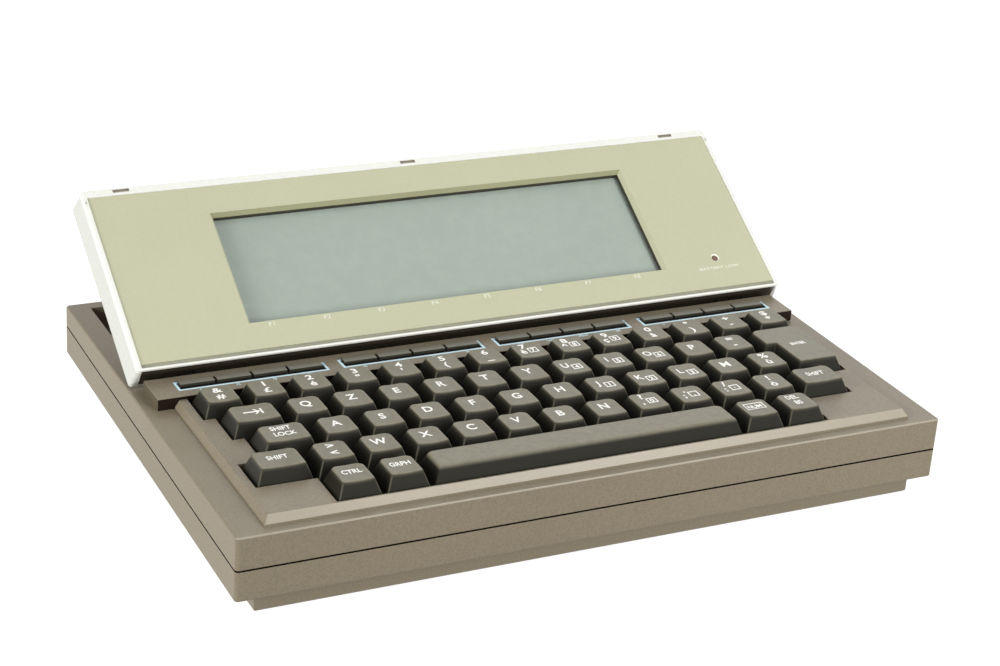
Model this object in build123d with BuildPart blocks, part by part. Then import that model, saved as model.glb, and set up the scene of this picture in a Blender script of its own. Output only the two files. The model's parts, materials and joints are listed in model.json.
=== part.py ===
from build123d import *
from math import cos, radians, sin
import os

os.makedirs("parts", exist_ok=True)

# Notebook computer in the slate form, in millimetres.
# X runs to the right, Y to the back, Z up; the origin is on the floor under the middle of the case.

# Case; its width and depth follow from the keyboard and from the display unit
side_margin = 16.3  # from the key block to the side of the case
block_margin = 8.0  # from the front of the case to the cells of the bottom row
deck_height = 35.2  # border around the keyboard, level
seam_front_drop = 13.5  # from the deck down to the seam, at the front
seam_back_drop = 9.0
seam_gap = 0.7
tray_wall_height = 12.6  # outer wall of the lower case below the seam
wall = 2.5
corner_radius = 1.6
edge_radius = 0.8
lip_height = 2.0
lip_thickness = 1.1
fit_gap = 0.2
close_gap = 0.05  # turning and screwed fits
merge = 0.5  # depth by which a form runs into the one that carries it
cut_past = 1.0  # distance by which a cut runs past a face

# Belly of the lower case, and its feet
belly_bottom = 1.5
belly_side_inset = 8.7
belly_front_inset = 4.0
foot_diameter = 12.0
foot_recess = 0.7
foot_side_inset = 13.3
foot_front_inset = 10.0
foot_back_inset = 7.5
foot_chamfer = 0.5

# Case screws
screw_inset_x = 5.7
screw_inset_y = 9.0
screw_diameter = 2.9
screw_head_diameter = 5.4
screw_head_height = 2.0
screw_bite = 5.0
screw_head_gap = 0.1  # from a sunk head to the face around it
column_diameter = 6.0

# Keyboard deck
key_pitch = 19.1
block_shift = 1.0  # the key block sits a little right of the middle
row_count = 5
digit_key_count = 14
letter_key_count = 11  # single keys in each of the three letter rows
row_length = 14.0  # longest row, in key pitches
deck_rise = 3.5
deck_foot = 0.9  # upright step under the bevel
deck_left_margin = 4.9
deck_right_margin = 2.9
deck_front_margin = 3.3
deck_side_bevel = 1.8
deck_front_bevel = 2.6
opening_gap = 0.2

# Keycaps
cap_gap = 1.0
cap_height = 7.8
cap_rest = 1.2  # lower edge above the border, at rest
cap_side_slope = 2.85
cap_front_slope = 3.1
cap_back_slope = 2.0
cap_front_corner = 0.9
cap_back_corner = 2.4
cap_wall = 1.3
cap_roof = 1.6
dish_depth = 0.42
stem_side = 3.6
stem_reach = 4.4  # below the cap's lower edge
key_travel = 4.0

# Function-key bar
bar_side_inset = 5.4
bar_gap = 0.3
bar_depth = 18.0
bar_rise = 4.9
bank_count = 4
bank_margin = 6.2  # from the end of the bar to the first bank's share of it
bank_gap = 8.4
keys_per_bank = 4
bar_key_gap = 0.6
bar_key_depth = 4.4
bar_key_rise = 1.0
bar_key_offset = 10.4  # from the front of the bar to the middle of its keys
bar_key_flange = 1.0
bar_key_flange_lap = 1.0
bar_key_chamfer = 0.35
slot_end_gap = 0.7
slot_front_gap = 1.4
slot_back_gap = 0.7
bar_key_travel = 1.5
bar_stem_side = 3.0

# Keyboard carrier
plate_drop = 5.2  # from the underside of the deck down to the plate
plate_thickness = 1.2
plate_side_inset = 12.0
plate_front_inset = 6.0
plate_back_gap = 1.0
front_post_share = 0.62  # of a key pitch, from the left end of the key block
front_post_right_share = 0.88
key_board_inset = 1.0
switch_side = 13.8
switch_neck = 12.6
switch_neck_height = 3.0
switch_depth = 5.0
switch_floor = 1.5
stem_gap = 0.4
board_thickness = 1.6
tact_side = 6.0
tact_height = 4.3
tact_plunger = 0.2
tact_hole_gap = 0.5
post_diameter = 5.0
guide_side = 7.0
guide_spacing = 2.5  # from the middle of the space bar, in key pitches

# Display well in the rear of the upper case
well_side_inset = 9.2
well_back_inset = 6.0
well_depth = 9.0
well_floor = 2.0

# Display unit: X across, V up the face, N out of the face, turned about the hinge axis
rest_tilt = 31.0
hinge_gap = 2.7  # from the back of the bar to the hinge axis
hinge_rise = 3.3  # hinge axis above the deck
hinge_to_face = 8.5  # from the axis out to the face
hinge_to_edge = 2.4  # from the axis up to the lower edge of the green face
unit_side_inset = 2.4
rim_side = 2.0
rim_bottom = 2.8
rim_top = 3.8
rim_radius = 0.6
ledge_width = 2.0
frame_depth = 2.4
face_height = 83.5
face_recess = 0.4
face_thickness = 1.2
window_width = 194.0
window_height = 56.6
unit_overhang = 2.2  # folded, the unit ends past the rear wall
window_bottom = 13.0
window_depth = 2.0
window_slope = 3.0
surround_width = 2.5
groove_width = 1.9  # shadow groove between the face's lower edge and the lip of the rim
groove_depth = 0.7
notch_length = 1.5  # moulding notches beside the rim's upper corners
notch_depth = 0.5
notch_drop = 2.2
cover_depth = 8.6
cover_flare = 1.8
cover_wall = 2.0
cover_corner = 1.5
bulge_gap = 4.8  # to the side wall of the well, folded
bulge_bottom = 6.0
bulge_end_gap = 2.6  # to the rear wall of the well, folded
bulge_depth = 7.0
bulge_chamfer = 2.5
glass_margin = 2.0
glass_thickness = 2.2
glass_lip = 1.2  # front lip of the glass's frame, behind the sloping surround
glass_frame_width = 6.0
glass_frame_back = 1.0
driver_screw_gap = 12.2
driver_margin_v = 3.0
driver_thickness = 1.6
driver_chip_height = 1.8
driver_chip_length = 16.0
driver_chip_width = 12.0
driver_chip_pitch = 42.0
driver_chip_row_pitch = 34.0
driver_chips_per_row = 5
lamp_inset = 22.8  # from the side of the face
lamp_v = 15.9
lamp_diameter = 5.0
lamp_lens_diameter = 2.9
lamp_lens_depth = 0.5
lamp_hole_chamfer = 0.4
lamp_chamfer = 0.3
lug_inset = 20.6
lug_width = 6.0
lug_gap = 0.5
lug_radius = 2.6
knuckle_radius = 2.5
knuckle_width = 5.5
knuckle_seat = 1.0  # of the rear cover, round each knuckle
pin_diameter = 3.0
pin_end_gap = 0.4
trim_end_inset = 2.0  # dark strip along the lower side, with the hinge knuckles on it
trim_front = 1.4
trim_width = 8.2
trim_thickness = 0.6
snap_inset = 18.8
snap_shift = -2.0
snap_rise = 0.2  # above the middle of the rim
snap_length = 7.0
snap_height = 1.5
snap_setback = 0.8
unit_screw_inset_x = 7.6
unit_screw_inset_v = 8.0
unit_boss_diameter = 5.6

# Battery bay and door
cell_diameter = 14.3
cell_length = 50.0
cell_count = 4
cell_pitch = 14.7
cell_nub = 1.0
cell_nub_diameter = 5.5
contact_space = 3.0
contact_plate = 0.5
contact_side = 11.0
contact_end_gap = 0.1
spring_wide = 10.0  # a conical spring, wide at its plate and narrow at the cell
spring_narrow = 6.0
button_wide = 6.0
button_narrow = 4.0
bay_side_wall = 4.8
bay_wall = 1.6
bay_margin = 0.3
bay_back_margin = 46.0  # from the rear wall to the middle of the bay
door_side_gap = 0.7
door_thickness = 2.0
door_tongue = 1.0
tongue_height = 0.8
door_overlap = 1.0
grip_inset = 12.0
grip_count = 4
grip_pitch = 3.0
grip_width = 1.4
grip_length = 22.0
grip_depth = 0.6

# Option cover in the underside
option_x = 25.0
option_back_margin = 61.0
option_length = 60.0
option_width = 44.0
option_ledge = 5.0
option_thickness = 1.8

# Main board
board_lift = 2.0
board_edge_margin = 5.0
board_port_margin = 2.5
board_bay_gap = 4.9
board_boss_diameter = 6.0
board_screw_head = 1.6
board_screw_inset = 10.0
board_screw_back_inset = 12.0
board_screw_left_inset = 8.0
board_middle_screw_inset = 20.0
screw_end_gap = 0.3

# Packages on the main board; their rows are measured from its front edge
chip_height = 4.2
processor_length = 52.0
processor_width = 14.0
processor_row = 54.5
processor_left_x = -60.0
processor_right_x = 20.0
driver_length = 36.0
driver_width = 13.0
driver_x = -40.0
logic_length = 20.0
logic_width = 7.0
logic_x = 30.0
logic_pitch = 44.0
logic_row = 94.5
logic_row_pitch = 20.0
logic_row_count = 3
memory_count = 4
memory_gap = 8.0
memory_end_margin = 17.8
memory_width = 15.0
memory_height = 8.0
memory_row = 22.5
memory_shift = -10.0
option_socket_length = 36.0
option_socket_width = 15.0
backup_headroom = 1.6  # under the floor of the well
backup_length = 18.0
backup_right_inset = 37.8
backup_back_inset = 66.0
buzzer_diameter = 22.0
buzzer_height = 5.0
buzzer_hole = 3.0
buzzer_right_inset = 25.8
buzzer_row = 82.5

# Rear connectors, in one row with equal gaps between their bodies
port_headroom = 3.5  # under the floor of the well
port_setback = 0.6
port_body_depth = 12.0
port_body_lap = 1.0
serial_shell = 39.0
barcode_shell = 17.0
shell_height = 8.4
shell_angle = 80.0
shell_wall = 0.6
shell_groove = 0.9
shell_groove_depth = 1.5
flange_extra = 14.0
flange_height = 12.4
flange_thickness = 1.0
printer_width = 44.0
printer_height = 7.6
printer_wall = 1.2
printer_lap = 2.0
tongue_inset = 4.0
tongue_thickness = 1.6
socket_depth = 3.2
cassette_diameter = 13.4
cassette_hollow = 11.0
cassette_key = 2.4
jack_diameter = 8.0
jack_hollow = 5.6
jack_pin = 2.1

# Side, rear and underside controls
power_back_margin = 136.0  # from the rear wall
power_drop = 6.0  # below the seam
power_travel = 5.0
power_knob_length = 5.0
power_knob_height = 4.0
power_base_thickness = 1.1
power_base_lap = 2.0
power_base_rise = 1.0
power_body_length = 20.0
power_body_width = 6.6
power_recess_taper = 20.0
knob_chamfer = 0.5
wheel_back_margin = 100.0
wheel_drop = 5.9
wheel_diameter = 13.6
wheel_thickness = 3.0
wheel_shaft_diameter = 3.0
wheel_shaft_end_gap = 0.3
wheel_notch_count = 18
wheel_notch_depth = 0.35
wheel_notch_width = 0.8
pot_length = 9.0
pot_wall_gap = 0.3
control_setback = 0.4
reset_diameter = 5.0
reset_travel = 1.2
reset_flange = 8.0
reset_flange_thickness = 1.6
reset_plunger_length = 6.2
reset_switch_side = 8.0
memory_x = 60.0
memory_front_margin = 46.0
memory_travel = 4.0
memory_knob_length = 4.0
memory_knob_width = 3.8
memory_base_lap = 1.5

# Places that follow from the sizes
case_width = row_length * key_pitch + 2 * side_margin
well_length = face_height + rim_top + hinge_to_edge + hinge_gap - well_back_inset - unit_overhang
case_depth = block_margin + row_count * key_pitch + bar_gap + bar_depth + well_length + well_back_inset
half_width = case_width / 2
front = -case_depth / 2
back = case_depth / 2
belly_half = half_width - belly_side_inset
belly_front = front + belly_front_inset
belly_floor = belly_bottom + wall
block_front = front + block_margin
row_start = block_shift - row_length * key_pitch / 2
row_end = row_start + row_length * key_pitch
deck_left = row_start - deck_left_margin
deck_right = row_end + deck_right_margin
deck_front = block_front - deck_front_margin
block_back = block_front + row_count * key_pitch
deck_underside = deck_height + deck_rise - wall
cap_base = deck_height + cap_rest
bar_half = half_width - bar_side_inset
bank_pitch = 2 * (bar_half - bank_margin) / bank_count
bar_key_pitch = (bank_pitch - bank_gap) / keys_per_bank
bar_key_width = bar_key_pitch - bar_key_gap
bar_front = block_back + bar_gap
bar_back = bar_front + bar_depth
bar_key_y = bar_front + bar_key_offset
slot_length = (keys_per_bank - 1) * bar_key_pitch + bar_key_width + 2 * slot_end_gap
slot_front = bar_key_y - bar_key_depth / 2 - slot_front_gap
slot_back = bar_key_y + bar_key_depth / 2 + slot_back_gap
plate_top = deck_underside - plate_drop
plate_half = half_width - plate_side_inset
well_half = half_width - well_side_inset
well_front = bar_back
well_back = back - well_back_inset
well_z = deck_height - well_depth
plate_front = front + plate_front_inset
plate_back = well_front - well_floor - plate_back_gap
key_board_top = plate_top - switch_depth
switch_top = plate_top + switch_neck_height
stem_hole = stem_side + 2 * stem_gap
hinge_y = bar_back + hinge_gap
hinge_z = deck_height + hinge_rise
tilt = radians(rest_tilt)
unit_half = half_width - unit_side_inset
face_half = unit_half - rim_side
window_v = window_bottom + window_height / 2
bulge_half = well_half - bulge_gap
bulge_top = well_length - hinge_gap - hinge_to_edge - bulge_end_gap
lamp_x = face_half - lamp_inset
lug_x = unit_half - lug_inset
snap_x = unit_half - snap_inset
cover_back = frame_depth + cover_depth
bay_left = -belly_half + bay_side_wall
bay_length = cell_length + 2 * contact_space
bay_right = bay_left + bay_length
bay_y = back - bay_back_margin
bay_half = cell_count * cell_pitch / 2 + bay_margin
bay_top = belly_bottom + door_thickness + cell_diameter + 3 * bay_margin
door_half = bay_half - door_side_gap
option_y = back - option_back_margin
board_z = belly_floor + board_lift
board_top = board_z + board_thickness
board_right = belly_half - wall - board_edge_margin
board_front = belly_front + wall + board_edge_margin
board_back = back - wall - board_edge_margin - board_port_margin
board_left = bay_right + bay_wall + board_bay_gap
port_back = back - port_setback
port_top = well_z - well_floor - port_headroom
port_z = port_top - flange_height / 2
port_widths = [reset_switch_side, serial_shell + flange_extra, printer_width + 2 * printer_lap,
               barcode_shell + flange_extra, cassette_diameter + 2 * port_body_lap,
               jack_diameter + 2 * port_body_lap]
port_gap = (belly_half - wall - board_left - sum(port_widths)) / (len(port_widths) + 1)
port_xs = [board_left + sum(port_widths[:n]) + (n + 1) * port_gap + width / 2
           for n, width in enumerate(port_widths)]
reset_x, serial_x, printer_x, barcode_x, cassette_x, jack_x = port_xs
power_y = back - power_back_margin
wheel_y = back - wheel_back_margin
memory_y = front + memory_front_margin
wheel_x = half_width - wheel_diameter / 2 - control_setback
screw_spots = [(x, y) for x in (screw_inset_x - half_width, half_width - screw_inset_x)
               for y in (front + screw_inset_y, back - screw_inset_y)]
foot_spots = [(side * (belly_half - foot_side_inset), y) for side in (-1, 1)
              for y in (belly_front + foot_front_inset, back - foot_back_inset)]
bank_xs = [block_shift + (n - (bank_count - 1) / 2) * bank_pitch for n in range(bank_count)]
bar_key_steps = [(n - (keys_per_bank - 1) / 2) * bar_key_pitch for n in range(keys_per_bank)]
bar_key_xs = [x + step for x in bank_xs for step in bar_key_steps]
front_posts = [(row_start + front_post_share * key_pitch, block_front + key_pitch / 2),
               (row_end - front_post_right_share * key_pitch, block_front + key_pitch / 2)]
bar_posts = [(x + bank_pitch / 2, bar_key_y) for x in bank_xs[:-1]]
unit_screw_spots = [(side * (unit_half - unit_screw_inset_x), v) for side in (-1, 1)
                    for v in (unit_screw_inset_v, face_height - unit_screw_inset_v)]
board_screw_front = board_front + board_screw_inset
board_screw_back = board_back - board_screw_back_inset
board_screw_spots = [(board_screw_inset - board_right, board_screw_front), (0, board_screw_front),
                     (board_right - board_screw_inset, board_screw_front),
                     (board_right - board_screw_inset, board_screw_back),
                     (option_x, board_back - board_middle_screw_inset),
                     (board_left + board_screw_left_inset, board_screw_back)]


def seam_z(y):
    """Height of the seam at a depth in the case."""
    share = (y - front) / case_depth
    return deck_height - seam_front_drop + share * (seam_front_drop - seam_back_drop)


def tray_z(y):
    """Height of the underside of the tray at a depth in the case."""
    return seam_z(y) - tray_wall_height


def join_z(y):
    """Height where the screw columns of the two halves meet: the seam, or lower beside the well."""
    return min(seam_z(y), well_z - well_floor - seam_gap / 2) if y > well_front else seam_z(y)


power_z = seam_z(power_y) - power_drop
wheel_z = seam_z(wheel_y) - wheel_drop


def cell_x(unit):
    """X of a place along a key row, in key pitches from its left end."""
    return row_start + unit * key_pitch


def cell_front(row):
    """Front edge of the cells of a row; row 0 is the digit row at the back."""
    return block_front + (row_count - 1 - row) * key_pitch


# The face plane of the display unit at rest; its cross-section planes hold V and N
face_y = hinge_y + hinge_to_edge * cos(tilt) - hinge_to_face * sin(tilt)
face_z = hinge_z + hinge_to_edge * sin(tilt) + hinge_to_face * cos(tilt)
face_plane = Plane(origin=(0, face_y, face_z), x_dir=(1, 0, 0), z_dir=(0, -sin(tilt), cos(tilt)))
face_axis = Axis((0, face_y, face_z), (0, -sin(tilt), cos(tilt)))


def unit_section(x):
    """Cross-section of the display unit, with its local axes along V and N."""
    return Plane(origin=(x, face_y, face_z), x_dir=(0, cos(tilt), sin(tilt)), z_dir=(1, 0, 0))


# Key rows: first and last place of the cells in each row, digit row first
row_spans = [(0, 14), (0.25, 14), (0.5, 14), (0, 13.5), (1.25, 12.25)]
single_rows = {"key_row_digits": (0, 0, digit_key_count), "key_row_upper": (1, 1.5, letter_key_count),
               "key_row_home": (2, 1.75, letter_key_count), "key_row_lower": (3, 1.25, letter_key_count)}
wide_keys = {"key_tab": (1, 0.25, 1.25), "key_shift_lock": (2, 0.5, 1.25), "key_shift_left": (3, 0, 1.25),
             "key_shift_right": (3, 12.25, 1.25), "key_ctrl": (4, 1.25, 1), "key_graph": (4, 2.25, 1),
             "key_num": (4, 10.25, 1), "key_del": (4, 11.25, 1)}
space_place = (4, 3.25, 7)
enter_upper = 12.5
enter_lower = 12.75
enter_stem = (cell_x(13.375), cell_front(1))

# Upper case
with BuildPart() as upper_case:
    with BuildSketch(Plane.YZ):
        with BuildLine():
            Polyline((front, seam_z(front) + seam_gap / 2), (front, deck_height), (back, deck_height),
                     (back, seam_z(back) + seam_gap / 2), close=True)
        make_face()
    extrude(amount=half_width, both=True)
    fillet(upper_case.edges().filter_by(Axis.Z), corner_radius)
    fillet(upper_case.faces().sort_by(Axis.Z)[-1].edges(), edge_radius)
    # Raised keyboard deck: an upright foot, then the bevel
    deck_middle = (deck_left + deck_right) / 2
    with BuildSketch(Plane.XY.offset(deck_height - edge_radius)):
        with Locations((deck_middle, (deck_front + bar_front) / 2)):
            Rectangle(deck_right - deck_left, bar_front - deck_front)
    extrude(amount=edge_radius + deck_foot)
    with BuildSketch(Plane.XY.offset(deck_height + deck_foot)):
        with Locations((deck_middle, (deck_front + bar_front) / 2)):
            Rectangle(deck_right - deck_left, bar_front - deck_front)
    with BuildSketch(Plane.XY.offset(deck_height + deck_rise)):
        with Locations((deck_middle, (deck_front + deck_front_bevel + bar_front) / 2)):
            Rectangle(deck_right - deck_left - 2 * deck_side_bevel,
                      bar_front - deck_front - deck_front_bevel)
    loft(ruled=True)
    # Function-key bar
    with BuildSketch(Plane.XY.offset(deck_height - edge_radius)):
        with Locations((0, (bar_front + bar_back) / 2)):
            Rectangle(2 * bar_half, bar_depth)
    extrude(amount=bar_rise + edge_radius)
    fillet(upper_case.faces().sort_by(Axis.Z)[-1].edges(), edge_radius / 2)
    # Hollow underneath, one wall thick, with the rabbet that takes the lip of the lower case
    with BuildSketch(Plane.XY):
        Rectangle(case_width - 2 * wall, case_depth - 2 * wall)
    extrude(amount=deck_height - wall, mode=Mode.SUBTRACT)
    rabbet = lip_thickness + fit_gap
    with BuildSketch(Plane.YZ):
        with BuildLine():
            Polyline((front + wall - rabbet, 0),
                     (front + wall - rabbet, seam_z(front) + lip_height + fit_gap),
                     (back - wall + rabbet, seam_z(back) + lip_height + fit_gap), (back - wall + rabbet, 0),
                     close=True)
        make_face()
    extrude(amount=half_width - wall + rabbet, both=True, mode=Mode.SUBTRACT)
    with BuildSketch(Plane.XY.offset(deck_height - wall)):
        with Locations((deck_middle, (deck_front + bar_front + wall) / 2)):
            Rectangle(deck_right - deck_left - 2 * wall, bar_front - deck_front - wall)
    extrude(amount=deck_rise, mode=Mode.SUBTRACT)
    with BuildSketch(Plane.XY.offset(deck_height - wall)):
        with Locations((0, (bar_front + bar_back) / 2)):
            Rectangle(2 * (bar_half - wall), bar_depth - 2 * wall)
    extrude(amount=bar_rise, mode=Mode.SUBTRACT)
    # Well that takes the display unit's back
    with BuildSketch(Plane.XY.offset(well_z - well_floor)):
        with Locations((0, (well_front + well_back) / 2)):
            Rectangle(2 * (well_half + well_floor), well_back - well_front + 2 * well_floor)
    extrude(amount=well_depth + well_floor)
    with BuildSketch(Plane.XY.offset(well_z)):
        with Locations((0, (well_front + well_back) / 2)):
            Rectangle(2 * well_half, well_back - well_front)
    extrude(amount=well_depth + cut_past, mode=Mode.SUBTRACT)
    # Stepped opening that follows the key rows
    with BuildSketch(Plane.XY.offset(deck_underside - cut_past)):
        for row, (first, last) in enumerate(row_spans):
            row_back = cell_front(row) + key_pitch if row else bar_front
            row_width = (last - first) * key_pitch + 2 * opening_gap
            with Locations((cell_x((first + last) / 2), (cell_front(row) + row_back) / 2)):
                Rectangle(row_width, row_back - cell_front(row))
    extrude(amount=wall + 2 * cut_past, mode=Mode.SUBTRACT)
    # Slots for the banks of function keys
    with BuildSketch(Plane.XY.offset(deck_height)):
        with Locations([(x, (slot_front + slot_back) / 2) for x in bank_xs]):
            Rectangle(slot_length, slot_back - slot_front)
    extrude(amount=bar_rise + cut_past, mode=Mode.SUBTRACT)
    # Posts that carry the keyboard plate
    with Locations([(x, y, plate_top) for x, y in front_posts]):
        Cylinder(post_diameter / 2, plate_drop + merge, align=(Align.CENTER, Align.CENTER, Align.MIN))
    with Locations([(x, y, plate_top) for x, y in bar_posts]):
        Cylinder(post_diameter / 2, deck_height + bar_rise - wall + merge - plate_top,
                 align=(Align.CENTER, Align.CENTER, Align.MIN))
    # Columns for the case screws
    for x, y in screw_spots:
        with Locations((x, y, join_z(y) + seam_gap / 2)):
            Cylinder(column_diameter / 2, deck_height - wall + merge - join_z(y) - seam_gap / 2,
                     align=(Align.CENTER, Align.CENTER, Align.MIN))
            Cylinder(screw_diameter / 2 + close_gap, screw_bite + 2 * fit_gap,
                     align=(Align.CENTER, Align.CENTER, Align.MIN), mode=Mode.SUBTRACT)
    # Lugs that carry the display unit's hinge pins
    for side in (-1, 1):
        with BuildSketch(Plane.YZ.offset(side * lug_x - lug_width / 2)):
            with BuildLine():
                Polyline((bar_back - merge, well_z - merge), (bar_back - merge, hinge_z),
                         (hinge_y + lug_radius, hinge_z), (hinge_y + lug_radius, well_z - merge), close=True)
            make_face()
            with Locations((hinge_y, hinge_z)):
                Circle(lug_radius)
                Circle(pin_diameter / 2 + close_gap, mode=Mode.SUBTRACT)
        extrude(amount=lug_width)
upper_case.part.label = "upper_case"
export_step(upper_case.part, "parts/upper_case.step")

# Lower case: a shallow tray with a deeper belly
power_slot = power_knob_length + power_travel + 2 * fit_gap
power_slot_y = power_y + power_travel / 2
wheel_depth = wheel_diameter / 2 + control_setback - wall
wheel_reach = ((wheel_diameter / 2 + fit_gap) ** 2 - wheel_depth ** 2) ** 0.5
memory_slot = memory_knob_length + memory_travel + 2 * fit_gap
memory_slot_x = memory_x + memory_travel / 2
option_boss_y = option_y - option_width / 2 + option_ledge / 2
with BuildPart() as lower_case:
    with BuildSketch(Plane.YZ):
        with BuildLine():
            Polyline((front, tray_z(front)), (front, seam_z(front) - seam_gap / 2),
                     (back, seam_z(back) - seam_gap / 2), (back, tray_z(back)), close=True)
        make_face()
    extrude(amount=half_width, both=True)
    fillet(lower_case.edges().filter_by(Axis.Z), corner_radius)
    fillet(lower_case.faces().sort_by(Axis.Z)[0].edges(), edge_radius)
    # Belly, flush with the rear wall
    with BuildSketch(Plane.XY.offset(belly_bottom)):
        with Locations((0, (belly_front + back) / 2)):
            Rectangle(2 * belly_half, back - belly_front)
    extrude(amount=tray_z(back) - belly_bottom + wall / 2)
    chamfer(lower_case.faces().sort_by(Axis.Z)[0].edges(), edge_radius)
    # Lip that stands inside the rabbet of the upper case
    lip_inset = wall - lip_thickness
    with BuildSketch(Plane.YZ):
        with BuildLine():
            Polyline((front + lip_inset, seam_z(front) - wall),
                     (front + lip_inset, seam_z(front) + lip_height),
                     (back - lip_inset, seam_z(back) + lip_height), (back - lip_inset, seam_z(back) - wall),
                     close=True)
        make_face()
    extrude(amount=half_width - lip_inset, both=True)
    # Hollow of the tray and of the belly
    with BuildSketch(Plane.YZ):
        with BuildLine():
            Polyline((front + wall, tray_z(front + wall) + wall), (front + wall, deck_height),
                     (back - wall, deck_height), (back - wall, tray_z(back - wall) + wall), close=True)
        make_face()
    extrude(amount=half_width - wall, both=True, mode=Mode.SUBTRACT)
    with BuildSketch(Plane.XY.offset(belly_floor)):
        with Locations((0, (belly_front + back) / 2)):
            Rectangle(2 * (belly_half - wall), back - belly_front - 2 * wall)
    extrude(amount=deck_height, mode=Mode.SUBTRACT)
    # Columns for the case screws
    for x, y in screw_spots:
        column_top = join_z(y) - seam_gap / 2
        with Locations((x, y, column_top)):
            Cylinder(column_diameter / 2, column_top - tray_z(y) - wall / 2,
                     align=(Align.CENTER, Align.CENTER, Align.MAX))
            Hole(screw_diameter / 2 + fit_gap, column_top)
        with Locations((x, y, tray_z(y) - cut_past)):
            Cylinder(screw_head_diameter / 2 + fit_gap, screw_head_height + fit_gap + cut_past,
                     align=(Align.CENTER, Align.CENTER, Align.MIN), mode=Mode.SUBTRACT)
    # Battery bay, its door track and the grooves for the door's tongues
    with BuildSketch(Plane.XY.offset(belly_bottom + edge_radius)):
        with Locations(((bay_right + bay_wall - belly_half + wall) / 2, bay_y)):
            Rectangle(bay_right + bay_wall + belly_half - wall, 2 * (bay_half + bay_wall + door_tongue))
    extrude(amount=bay_top + bay_wall - belly_bottom - edge_radius)
    with BuildSketch(Plane.XY.offset(belly_bottom + door_thickness)):
        with Locations(((bay_left + bay_right) / 2, bay_y)):
            Rectangle(bay_length, 2 * bay_half)
    extrude(amount=bay_top - belly_bottom - door_thickness, mode=Mode.SUBTRACT)
    track_right = bay_right + door_overlap + fit_gap
    with BuildSketch(Plane.XY.offset(belly_bottom - cut_past)):
        with Locations(((track_right - half_width) / 2, bay_y)):
            Rectangle(track_right + half_width, 2 * (door_half + fit_gap))
    extrude(amount=cut_past + door_thickness + fit_gap, mode=Mode.SUBTRACT)
    with BuildSketch(Plane.XY.offset(belly_bottom + door_thickness - tongue_height - fit_gap)):
        with Locations(((track_right - half_width) / 2, bay_y)):
            Rectangle(track_right + half_width, 2 * (door_half + door_tongue + fit_gap))
    extrude(amount=tongue_height + 2 * fit_gap, mode=Mode.SUBTRACT)
    # Bosses of the main board
    with Locations([(x, y, belly_floor - merge) for x, y in board_screw_spots]):
        Cylinder(board_boss_diameter / 2, board_lift + merge, align=(Align.CENTER, Align.CENTER, Align.MIN))
        with Locations((0, 0, board_lift + merge)):
            Hole(screw_diameter / 2 + close_gap, board_lift + merge)
    # Option opening with its ledge and screw boss
    with BuildSketch(Plane.XY.offset(belly_bottom - cut_past)):
        with Locations((option_x, option_y)):
            Rectangle(option_length + 2 * fit_gap, option_width + 2 * fit_gap)
    extrude(amount=cut_past + option_thickness, mode=Mode.SUBTRACT)
    with BuildSketch(Plane.XY.offset(belly_bottom)):
        with Locations((option_x, option_y)):
            Rectangle(option_length - 2 * option_ledge, option_width - 2 * option_ledge)
    extrude(amount=wall + cut_past, mode=Mode.SUBTRACT)
    with Locations((option_x, option_boss_y, belly_bottom + option_thickness)):
        Cylinder(board_boss_diameter / 2, board_z - fit_gap - belly_bottom - option_thickness,
                 align=(Align.CENTER, Align.CENTER, Align.MIN))
        Cylinder(screw_diameter / 2 + close_gap, board_lift, align=(Align.CENTER, Align.CENTER, Align.MIN),
                 mode=Mode.SUBTRACT)
    # Seats of the feet
    with Locations([(x, y, belly_bottom) for x, y in foot_spots]):
        Cylinder(foot_diameter / 2 + fit_gap / 2, 2 * foot_recess, mode=Mode.SUBTRACT)
    # Slot of the power switch in its recess, and the slot of the contrast wheel
    with BuildSketch(Plane.YZ.offset(half_width - wall - cut_past)):
        with Locations((power_slot_y, power_z)):
            Rectangle(power_slot, power_knob_height + 2 * fit_gap)
    extrude(amount=wall + 2 * cut_past, mode=Mode.SUBTRACT)
    with BuildSketch(Plane.YZ.offset(half_width)):
        with Locations((power_slot_y, power_z)):
            Rectangle(power_slot + 2 * power_knob_height, 2 * power_knob_height)
    extrude(amount=-wall / 2, mode=Mode.SUBTRACT, taper=power_recess_taper)
    with BuildSketch(Plane.YZ.offset(half_width - wall - cut_past)):
        with Locations((wheel_y, wheel_z)):
            Rectangle(2 * wheel_reach, wheel_thickness + 4 * fit_gap)
    extrude(amount=wall + 2 * cut_past, mode=Mode.SUBTRACT)
    # Slot of the memory switch in its recess in the underside
    with BuildSketch(Plane.XY.offset(belly_bottom - cut_past)):
        with Locations((memory_slot_x, memory_y)):
            Rectangle(memory_slot, memory_knob_width + 2 * fit_gap)
    extrude(amount=wall + 2 * cut_past, mode=Mode.SUBTRACT)
    with BuildSketch(Plane.XY.offset(belly_bottom)):
        with Locations((memory_slot_x, memory_y)):
            Rectangle(memory_slot + memory_knob_width, 2 * memory_knob_width)
    extrude(amount=wall / 3, mode=Mode.SUBTRACT)
    # Openings in the rear wall
    with BuildSketch(Plane.XZ.offset(-back - cut_past)):
        with Locations((serial_x, port_z)):
            Trapezoid(serial_shell + 2 * fit_gap, shell_height + 2 * fit_gap, shell_angle, rotation=180)
        with Locations((barcode_x, port_z)):
            Trapezoid(barcode_shell + 2 * fit_gap, shell_height + 2 * fit_gap, shell_angle, rotation=180)
        with Locations((printer_x, port_z)):
            Rectangle(printer_width + 2 * fit_gap, printer_height + 2 * fit_gap)
        with Locations((cassette_x, port_z)):
            Circle(cassette_diameter / 2 + fit_gap)
        with Locations((jack_x, port_z)):
            Circle(jack_diameter / 2 + fit_gap)
        with Locations((reset_x, port_z)):
            Circle(reset_diameter / 2 + fit_gap)
    extrude(amount=wall + 2 * cut_past, mode=Mode.SUBTRACT)
lower_case.part.label = "lower_case"
export_step(lower_case.part, "parts/lower_case.step")

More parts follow.
